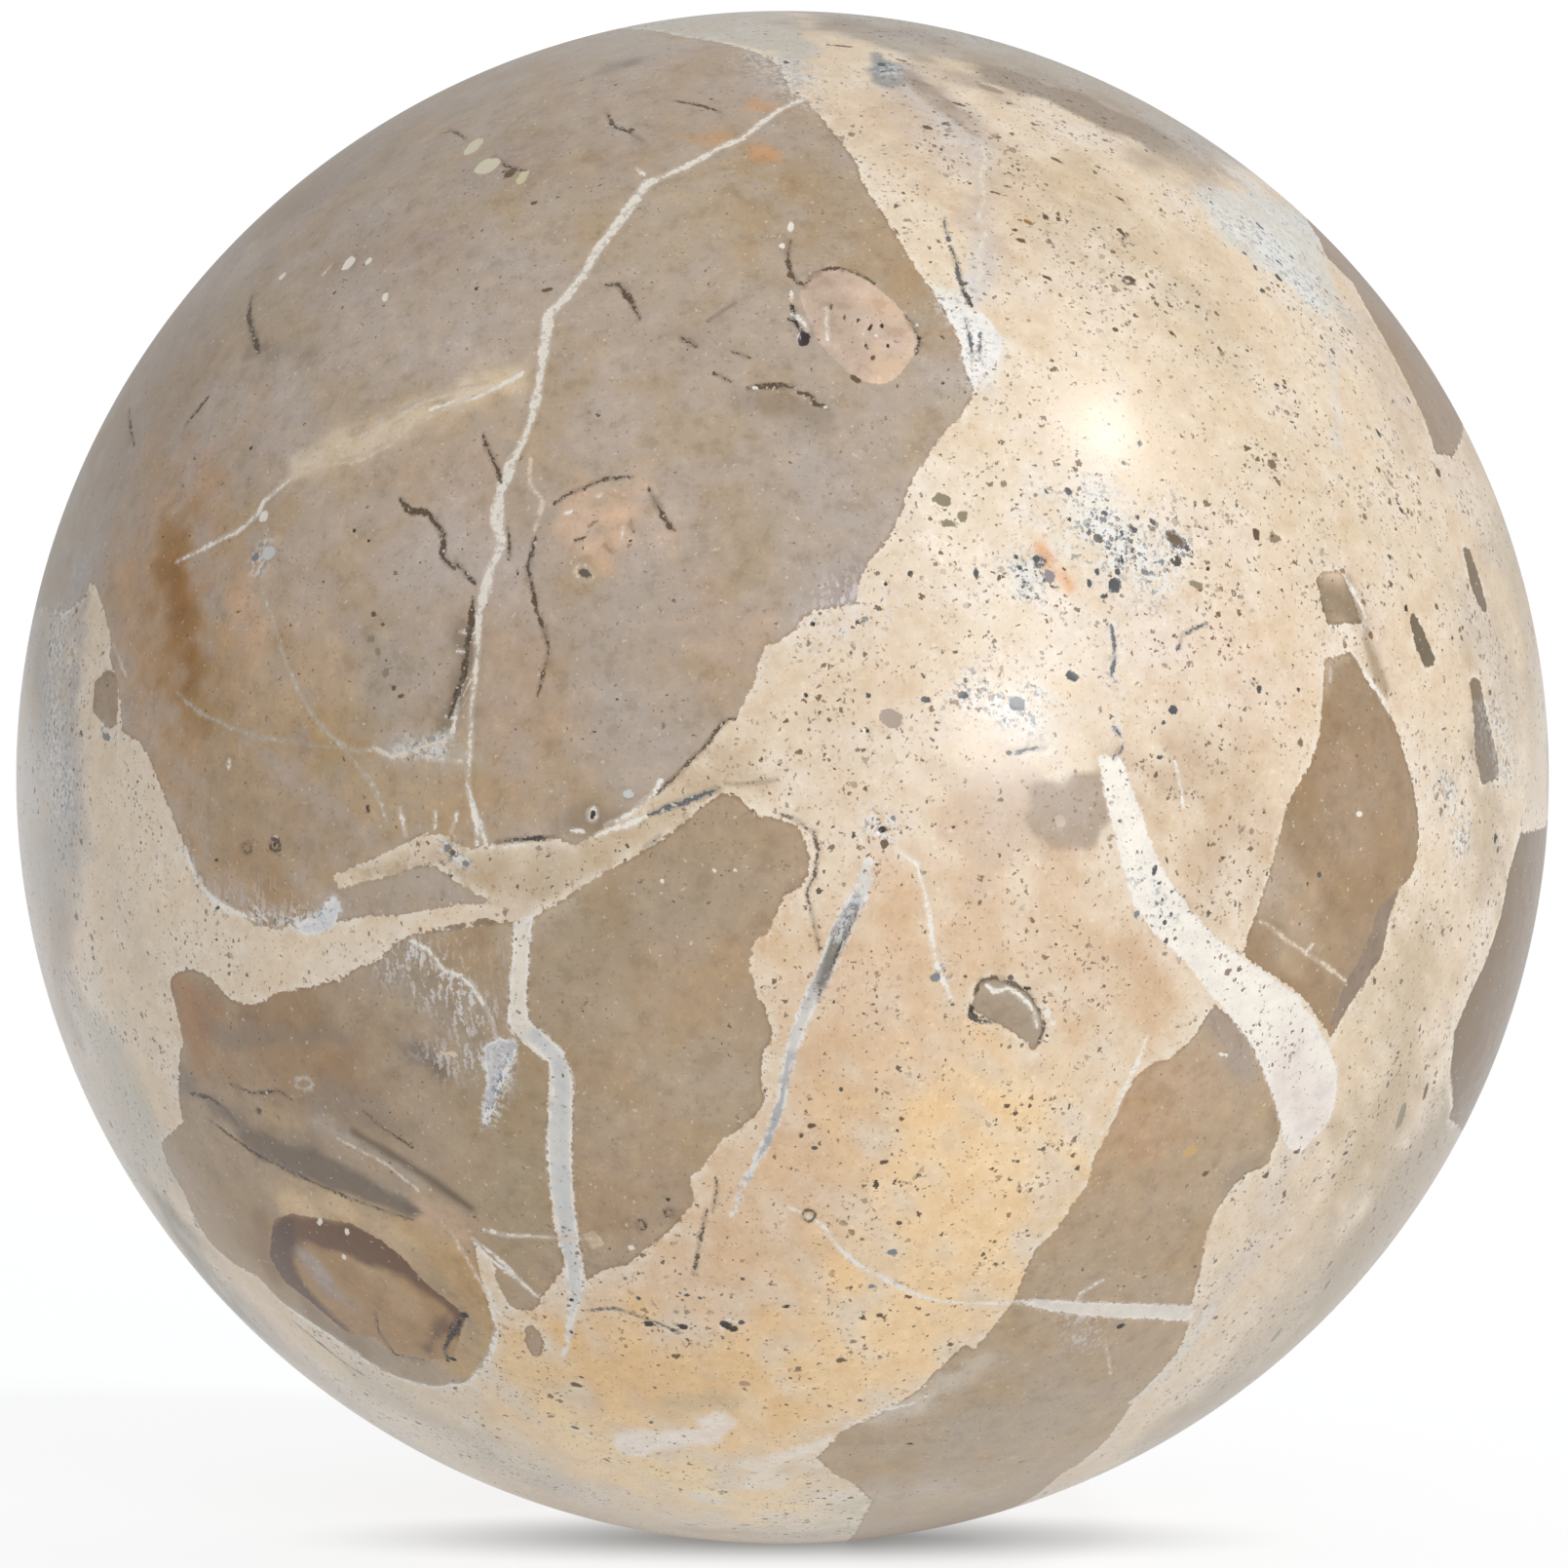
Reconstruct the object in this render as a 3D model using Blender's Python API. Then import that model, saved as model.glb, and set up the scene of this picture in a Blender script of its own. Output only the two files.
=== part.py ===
"""Decorative sphere: one ball of polished brecciated stone, with a small flat that keeps it from rolling.

Metres, +Z up. The origin is the middle of the flat, on the surface that the ball stands on.
"""

import math

import bmesh
import bpy

# Driving dimensions
DIAMETER = 0.120
FLAT_WIDTH = 0.014

# How finely the curved surface is faceted
MERIDIANS = 96
PARALLELS = 47

# Finish, as seen on the cream ground of the stone
STONE_COLOUR = (0.52, 0.42, 0.31, 1.0)
STONE_ROUGHNESS = 0.28


def clear_scene():
    for obj in list(bpy.data.objects):
        bpy.data.objects.remove(obj)


def polished_stone():
    """The material: a dense limestone breccia with a satin polish."""
    material = bpy.data.materials.new("polished_stone")
    material.use_nodes = True
    shader = material.node_tree.nodes["Principled BSDF"]
    shader.inputs["Base Color"].default_value = STONE_COLOUR
    shader.inputs["Roughness"].default_value = STONE_ROUGHNESS
    shader.inputs["Metallic"].default_value = 0.0
    return material


def ball_profile(radius, flat_radius, steps):
    """Half the ball's outline, from its top round the side to the flat's rim.

    Each point is (distance from the axis, height).
    """
    centre_height = math.sqrt(radius**2 - flat_radius**2)
    rim_angle = math.pi - math.asin(flat_radius / radius)
    outline = []
    for step in range(1, steps + 1):
        angle = rim_angle * step / steps
        outline.append((radius * math.sin(angle), centre_height + radius * math.cos(angle)))
    return (0.0, centre_height + radius), outline


def turned_ball(name):
    """Turns the profile about the vertical axis, and closes it with one face for the flat."""
    top_point, outline = ball_profile(DIAMETER / 2, FLAT_WIDTH / 2, PARALLELS)
    mesh = bmesh.new()
    rings = []
    for reach, height in outline:
        ring = []
        for turn in range(MERIDIANS):
            angle = 2 * math.pi * turn / MERIDIANS
            ring.append(mesh.verts.new((reach * math.cos(angle), reach * math.sin(angle), height)))
        rings.append(ring)
    top = mesh.verts.new((top_point[0], 0.0, top_point[1]))
    for turn in range(MERIDIANS):
        after = (turn + 1) % MERIDIANS
        mesh.faces.new((top, rings[0][turn], rings[0][after]))
        for upper, lower in zip(rings, rings[1:]):
            mesh.faces.new((upper[turn], lower[turn], lower[after], upper[after]))
    mesh.faces.new(reversed(rings[-1]))
    data = bpy.data.meshes.new(name)
    mesh.to_mesh(data)
    mesh.free()
    data.shade_smooth()
    return data


def make_stone_ball():
    ball = bpy.data.objects.new("stone_ball", turned_ball("stone_ball"))
    ball.data.materials.append(polished_stone())
    bpy.context.collection.objects.link(ball)
    return ball


clear_scene()
make_stone_ball()
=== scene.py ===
import math

import bpy
import numpy as np
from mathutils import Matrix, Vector


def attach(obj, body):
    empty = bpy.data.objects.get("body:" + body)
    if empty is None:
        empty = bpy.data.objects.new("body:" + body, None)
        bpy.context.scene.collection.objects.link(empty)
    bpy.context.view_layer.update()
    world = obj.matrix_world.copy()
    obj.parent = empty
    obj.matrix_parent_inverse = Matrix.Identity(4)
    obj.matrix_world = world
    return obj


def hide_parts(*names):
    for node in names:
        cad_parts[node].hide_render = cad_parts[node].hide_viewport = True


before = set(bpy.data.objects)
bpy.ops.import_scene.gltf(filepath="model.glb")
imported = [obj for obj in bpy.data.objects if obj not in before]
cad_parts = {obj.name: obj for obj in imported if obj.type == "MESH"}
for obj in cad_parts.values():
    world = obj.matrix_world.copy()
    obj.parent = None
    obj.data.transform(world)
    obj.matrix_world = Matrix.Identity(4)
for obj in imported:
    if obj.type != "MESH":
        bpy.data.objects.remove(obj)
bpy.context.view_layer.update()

# Looks for the decorative sphere: polished breccia, with taupe limestone clasts in a cream,
# speckled ground, white calcite veins, dark cracks and small fossils.

# Size, metres. The skin stays a hair inside the CAD ball's box.
RADIUS = 0.05997
FLAT_RADIUS = 0.007
CENTRE_HEIGHT = math.sqrt(RADIUS**2 - FLAT_RADIUS**2)
MM = 1000.0
RADIUS_MM = RADIUS * MM

# The photograph's frame, in pixels, and where the ball's outline lies in it
IMAGE = 1609
BALL_X = 803.0
BALL_Y = 797.5
BALL_PX = 786.4
CAMERA_DISTANCE = 0.60
CAMERA_ELEVATION = math.radians(3.0)
LIMB = math.asin(RADIUS / CAMERA_DISTANCE)
FOCAL_PX = BALL_PX / math.tan(LIMB)
CAP = math.pi / 2 - LIMB
MM_PER_PX = 0.0715

BACK = np.array([0.0, -math.cos(CAMERA_ELEVATION), math.sin(CAMERA_ELEVATION)])
RIGHT = np.array([1.0, 0.0, 0.0])
UP = np.array([0.0, math.sin(CAMERA_ELEVATION), math.cos(CAMERA_ELEVATION)])


def on_ball(x, y):
    """Unit directions from the ball's middle for picture points.

    Points outside the ball's outline run on round its far side, where twice the outline's
    radius is the point right behind.
    """
    across = np.asarray(x, float) - BALL_X
    down = np.asarray(y, float) - BALL_Y
    reach = np.hypot(across, down)
    ray = np.arctan(np.minimum(reach, BALL_PX) / FOCAL_PX)
    sine = np.clip(CAMERA_DISTANCE / RADIUS * np.sin(ray), -1.0, 1.0)
    near = np.arcsin(sine) - ray
    far = CAP + (reach / BALL_PX - 1.0) * (math.pi - CAP)
    tilt = np.where(reach <= BALL_PX, near, far)[..., None]
    turn = np.arctan2(-down, across)[..., None]
    side = RIGHT * np.cos(turn) + UP * np.sin(turn)
    return BACK * np.cos(tilt) + side * np.sin(tilt)


def linear(colour):
    """An 8-bit colour as linear light."""
    share = np.asarray(colour, float) / 255.0
    return np.where(share <= 0.04045, share / 12.92, ((share + 0.055) / 1.055) ** 2.4)


# The polish lays a thin veil of white over the stone, so the stone itself is a little deeper
VEIL = 0.021
GAIN = 0.97


def stone(colour):
    """An 8-bit colour of the polished stone, less the veil of its polish."""
    return np.maximum(linear(colour) * GAIN - VEIL, 0.004)


# Colours of the stone, as seen in even light
TAUPE = (184, 168, 152)
TAN = (186, 162, 132)
DUN = (176, 153, 126)
FAWN = (190, 169, 144)
CREAM = (235, 217, 193)
CHALK = (240, 234, 222)
ICE = (208, 210, 208)
BLUE_GREY = (132, 136, 140)
CORAL = (208, 170, 142)
OCHRE = (158, 118, 72)
OLIVE = (150, 140, 116)
UMBER = (112, 92, 68)
SOOT = (62, 54, 46)
GREY_INK = (84, 86, 88)
BROWN_INK = (104, 82, 58)
VEIN_GREY = (192, 190, 190)

# Tones of thin lines, from near black to white
BLACK = 0.0
BROWN = 0.25
GREY = 0.5
PALE = 0.75
WHITE = 1.0

# Outlines of the clasts, as x, y, x, y ... in picture pixels
GREAT_CLAST = [
    640, 30, 700, 38, 740, 44, 780, 55, 800, 68, 812, 95, 826, 101, 842, 120, 850, 130, 870, 155,
    880, 170, 884, 185, 893, 200, 907, 220, 920, 243, 940, 275, 960, 303, 978, 332, 984, 348,
    991, 380, 1000, 403, 990, 420, 985, 430, 972, 440, 957, 460, 944, 480, 932, 503, 924, 530,
    912, 552, 897, 570, 885, 588, 878, 605, 880, 620, 870, 622, 850, 624, 835, 628, 822, 635,
    818, 645, 800, 658, 788, 662, 782, 668, 774, 700, 765, 716, 757, 737, 741, 742, 733, 752,
    719, 773, 708, 781, 690, 800, 675, 810, 660, 824, 640, 840, 615, 853, 590, 868, 570, 859,
    540, 862, 498, 868, 480, 872, 455, 857, 437, 856, 425, 861, 400, 873, 380, 883, 342, 898,
    345, 912, 370, 906, 400, 899, 420, 890, 445, 887, 465, 903, 495, 920, 507, 928, 470, 928,
    430, 935, 410, 940, 380, 940, 345, 946, 330, 955, 305, 945, 290, 955, 262, 950, 245, 938,
    220, 925, 203, 902, 190, 868, 178, 840, 162, 800, 152, 775, 143, 762, 125, 750, 124, 730,
    121, 705, 112, 672, 114, 658, 108, 630, 99, 603, 92, 598, 86, 614, 66, 630, 20, 620, -70, 480, -130, 330,
    -90, 140, 40, -40, 240, -150, 470, -120, 600, -50,
]
MIDDLE_CLAST = [
    545, 942, 560, 933, 580, 922, 600, 908, 625, 893, 648, 880, 670, 867, 688, 855, 705, 842,
    718, 828, 740, 815, 750, 815, 760, 820, 778, 838, 790, 838, 812, 845, 820, 848, 830, 875,
    832, 890, 822, 910, 805, 918, 800, 930, 790, 955, 772, 968, 769, 992, 776, 1020, 785, 1032,
    792, 1058, 790, 1070, 782, 1080, 781, 1110, 785, 1130, 780, 1140, 757, 1160, 740, 1170,
    728, 1188, 724, 1195, 708, 1208, 713, 1231, 705, 1244, 688, 1262, 668, 1278, 645, 1297,
    620, 1303, 602, 1315, 596, 1290, 590, 1250, 587, 1190, 588, 1115, 583, 1090, 578, 1080,
    553, 1056, 543, 1050, 540, 1020, 543, 970,
]
LEFT_CLAST = [
    174, 1006, 182, 997, 196, 995, 212, 1000, 224, 1012, 236, 1026, 250, 1030, 265, 1030,
    285, 1018, 320, 1012, 348, 1005, 370, 990, 385, 988, 405, 968, 425, 957, 450, 955, 500, 948,
    528, 945, 527, 985, 521, 1048, 540, 1074, 563, 1090, 563, 1125, 562, 1185, 568, 1255,
    580, 1300, 563, 1322, 555, 1333, 530, 1312, 500, 1290, 487, 1275, 497, 1325, 510, 1365,
    503, 1392, 490, 1410, 465, 1425, 425, 1420, 385, 1403, 345, 1375, 290, 1338, 262, 1308,
    240, 1297, 215, 1275, 200, 1250, 188, 1222, 172, 1195, 165, 1172, 188, 1152, 184, 1125,
    184, 1085, 188, 1070, 182, 1040,
]
RIGHT_CLAST = [
    1359, 676, 1375, 672, 1385, 669, 1392, 676, 1402, 697, 1418, 718, 1432, 743, 1441, 775,
    1450, 805, 1456, 848, 1455, 875, 1448, 900, 1436, 912, 1425, 942, 1418, 980, 1405, 1000,
    1393, 1018, 1378, 1042, 1366, 1065, 1356, 1050, 1343, 1030, 1325, 1013, 1300, 997, 1275, 980,
    1284, 950, 1293, 925, 1303, 895, 1310, 868, 1320, 828, 1330, 808, 1345, 785, 1355, 750,
    1358, 705,
]
UPPER_CHIP = [
    1350, 592, 1357, 587, 1368, 585, 1377, 588, 1388, 612, 1397, 640, 1375, 640, 1362, 642,
    1356, 620,
]
LOWER_CLAST = [
    1245, 1030, 1262, 1044, 1283, 1066, 1300, 1106, 1313, 1143, 1316, 1155, 1306, 1180,
    1302, 1195, 1277, 1205, 1262, 1222, 1248, 1243, 1238, 1265, 1234, 1290, 1224, 1332,
    1218, 1365, 1207, 1390, 1190, 1408, 1165, 1435, 1150, 1458, 1138, 1475, 1110, 1500,
    1088, 1513, 1068, 1530, 1010, 1600, 930, 1630, 870, 1600, 870, 1580, 885, 1557, 895, 1540,
    877, 1523, 855, 1512, 838, 1495, 865, 1468, 905, 1450, 940, 1428, 962, 1405, 990, 1380,
    1000, 1385, 1022, 1358, 1040, 1335, 1052, 1303, 1062, 1282, 1085, 1260, 1103, 1232,
    1117, 1215, 1122, 1188, 1138, 1160, 1152, 1128, 1165, 1105, 1185, 1090, 1200, 1087,
    1228, 1060,
]
LIMB_CLAST = [
    1560, 855, 1548, 895, 1540, 940, 1525, 985, 1507, 1023, 1492, 1060, 1487, 1105, 1490, 1135,
    1487, 1148, 1500, 1162, 1590, 1190, 1660, 1120, 1700, 980, 1660, 880, 1600, 840,
]
LIMB_SLIVER = [
    1340, 225, 1362, 265, 1388, 290, 1403, 318, 1428, 362, 1445, 395, 1458, 422, 1474, 466,
    1490, 468, 1502, 432, 1540, 400, 1520, 300, 1450, 210, 1390, 190,
]
LONG_CHIP_1 = [1446, 632, 1452, 629, 1466, 660, 1473, 675, 1472, 682, 1463, 687, 1452, 662]
LONG_CHIP_2 = [1500, 560, 1508, 563, 1520, 600, 1526, 625, 1523, 630, 1510, 605]
LONG_CHIP_3 = [
    1508, 700, 1512, 694, 1518, 697, 1526, 735, 1536, 775, 1538, 800, 1520, 805, 1514, 775,
]
BROWN_WEDGE = [505, 1291, 520, 1300, 546, 1326, 556, 1336, 545, 1346, 524, 1342, 512, 1322]
BOTTOM_LENS = [538, 1362, 545, 1359, 553, 1365, 558, 1378, 556, 1390, 548, 1395, 539, 1378]
HALF_MOON = [
    996, 1035, 1001, 1018, 1003, 1010, 1016, 1003, 1036, 1008, 1046, 1017, 1056, 1020, 1067, 1037,
    1073, 1055, 1065, 1072, 1060, 1080, 1050, 1067, 1035, 1057, 1015, 1047,
]

CLASTS = [
    (GREAT_CLAST, TAUPE),
    (MIDDLE_CLAST, DUN),
    (LEFT_CLAST, DUN),
    (RIGHT_CLAST, (163, 138, 108)),
    (UPPER_CHIP, (152, 132, 106)),
    (LOWER_CLAST, (186, 163, 134)),
    (LIMB_CLAST, (122, 96, 60)),
    (LIMB_SLIVER, (165, 145, 125)),
    (LONG_CHIP_1, (122, 110, 92)),
    (LONG_CHIP_2, (132, 116, 96)),
    (LONG_CHIP_3, (136, 120, 100)),
    (BOTTOM_LENS, DUN),
    (BROWN_WEDGE, (180, 158, 132)),
    (HALF_MOON, (172, 154, 132)),
]

# Smaller bodies that lie in a clast or across an edge
PISOLITH = [
    820, 303, 826, 290, 833, 283, 850, 275, 862, 275, 875, 279, 893, 290, 912, 305, 932, 325,
    943, 350, 938, 365, 920, 388, 905, 395, 880, 390, 860, 372, 842, 353, 828, 325,
]
FOSSIL_CORE = [
    281, 1250, 300, 1246, 330, 1250, 360, 1255, 390, 1272, 413, 1290, 435, 1315, 460, 1335,
    478, 1350, 465, 1395, 440, 1395, 405, 1390, 385, 1372, 357, 1368, 318, 1335, 292, 1315,
    277, 1290,
]
LOBE = [
    1060, 812, 1060, 822, 1055, 835, 1060, 855, 1078, 867, 1118, 872, 1128, 868, 1139, 840,
    1132, 802, 1128, 794, 1104, 792, 1080, 800, 1066, 806,
]
TONGUE_LENS = [97, 700, 110, 687, 118, 690, 121, 705, 121, 725, 119, 745, 110, 748, 95, 730]
BROWN_SLIP = [418, 953, 450, 952, 485, 945, 500, 942, 515, 948, 480, 952, 455, 957, 430, 957]
DARK_STRIP = [
    1436, 912, 1425, 942, 1418, 980, 1405, 1000, 1393, 1018, 1372, 1050, 1364, 1052, 1380, 1010,
    1400, 975, 1415, 930,
]
TAN_WEDGE = [598, 1267, 610, 1262, 622, 1278, 606, 1282]
OLIVE_CHIP = [1303, 543, 1317, 553, 1303, 558]
SHELL_END = [1196, 545, 1204, 542, 1219, 557, 1216, 564, 1206, 562, 1197, 553]
DARK_BODY = [1137, 596, 1148, 592, 1152, 600, 1148, 608, 1138, 608]
BLUE_SPOT = [889, 56, 900, 52, 912, 60, 922, 72, 926, 86, 914, 92, 900, 88, 890, 74]
CRYSTALS = [
    302, 955, 312, 944, 326, 938, 336, 924, 346, 920, 350, 934, 344, 948, 330, 958, 314, 960,
]
INSETS = [
    (PISOLITH, (206, 184, 167)),
    (FOSSIL_CORE, (174, 138, 94)),
    (TONGUE_LENS, (170, 148, 124)),
    (BROWN_SLIP, (150, 128, 104)),
    (DARK_STRIP, (146, 127, 108)),
    (TAN_WEDGE, (205, 183, 152)),
    (OLIVE_CHIP, (150, 134, 110)),
    (SHELL_END, (140, 134, 124)),
    (DARK_BODY, (96, 96, 98)),
]

# Wide veins of white calcite, and the pale fills beside them
UPPER_FILL = [
    962, 305, 985, 315, 1010, 322, 1020, 335, 1028, 350, 1027, 370, 1005, 385, 1000, 400, 988, 370,
    985, 345, 975, 330,
]
RIGHT_VEIN = [
    1126, 775, 1150, 776, 1157, 800, 1170, 830, 1180, 860, 1190, 885, 1197, 900, 1222, 935,
    1250, 965, 1275, 985, 1303, 1002, 1330, 1022, 1350, 1048, 1362, 1072, 1373, 1100, 1370, 1130,
    1362, 1155, 1348, 1168, 1334, 1184, 1320, 1176, 1316, 1160, 1308, 1130, 1297, 1100, 1285, 1072,
    1262, 1042, 1243, 1020, 1212, 982, 1195, 968, 1178, 948, 1163, 925, 1150, 880, 1138, 835,
]
LEFT_VEIN = [
    528, 945, 547, 940, 543, 970, 540, 1030, 543, 1050, 563, 1064, 578, 1080, 588, 1110,
    586, 1170, 588, 1230, 596, 1290, 599, 1325, 592, 1345, 587, 1368, 577, 1400, 580, 1368,
    584, 1340, 580, 1295, 573, 1268, 564, 1220, 561, 1165, 567, 1115, 563, 1090, 550, 1078,
    525, 1058, 521, 1048, 524, 1005,
]
LOW_VEIN = [
    1040, 1335, 1065, 1334, 1100, 1336, 1150, 1337, 1200, 1339, 1226, 1341, 1222, 1356, 1180, 1353,
    1110, 1350, 1070, 1344,
]
GREY_FILL = [
    496, 1072, 512, 1066, 530, 1069, 529, 1086, 518, 1102, 511, 1122, 505, 1142, 494, 1162, 496, 1134,
    500, 1110, 497, 1090,
]
VEINS = [
    (CRYSTALS, (222, 222, 224)),
    (UPPER_FILL, (246, 242, 236)),
    (RIGHT_VEIN, (248, 241, 230)),
    (LEFT_VEIN, (222, 219, 214)),
    (LOW_VEIN, (234, 226, 214)),
    (GREY_FILL, (196, 194, 196)),
]

# The long white vein down the great clast: x, y and half width
LONG_VEIN = [
    826, 101, 2, 800, 113, 2.6, 780, 128, 2.6, 760, 143, 2.6, 740, 150, 2.6, 720, 163, 2.6,
    680, 182, 3, 665, 188, 6, 655, 200, 4, 640, 222, 4.5, 612, 258, 4.5, 603, 275, 4, 590, 293, 4,
    580, 305, 4, 562, 325, 5.5, 560, 345, 5, 557, 370, 4, 553, 395, 3, 549, 415, 4.5, 545, 430, 3,
    540, 445, 3, 533, 460, 2.5, 527, 470, 3.5, 517, 495, 5.5, 513, 505, 3, 510, 528, 6.5,
    510, 535, 6.5, 515, 558, 3, 510, 570, 3, 503, 583, 3, 498, 605, 6, 492, 625, 2.2,
    491, 640, 1.8, 490, 670, 1.6, 487, 700, 1.3, 485, 715, 1.5, 483, 735, 1.1, 484, 755, 1.4,
    480, 800, 1.1, 481, 815, 1.2, 485, 828, 1.4, 494, 848, 1.3, 499, 868, 1.6,
]
SPINE_VEIN = [
    893, 880, 5, 888, 893, 6, 888, 905, 7, 882, 918, 8, 868, 945, 9, 855, 975, 9, 845, 1000, 8,
    832, 1025, 7, 820, 1055, 7, 810, 1085, 6, 804, 1115, 5, 802, 1130, 5, 795, 1150, 4, 785, 1175, 4,
    765, 1212, 3, 750, 1250, 2,
]
LOW_ICE = [1243, 1342, 6, 1232, 1362, 7, 1219, 1380, 7, 1204, 1400, 6, 1190, 1416, 5, 1160, 1440, 3]
WIDTH_STROKES = [
    (0.94, LONG_VEIN),
    (0.88, LOW_ICE),
]

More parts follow.
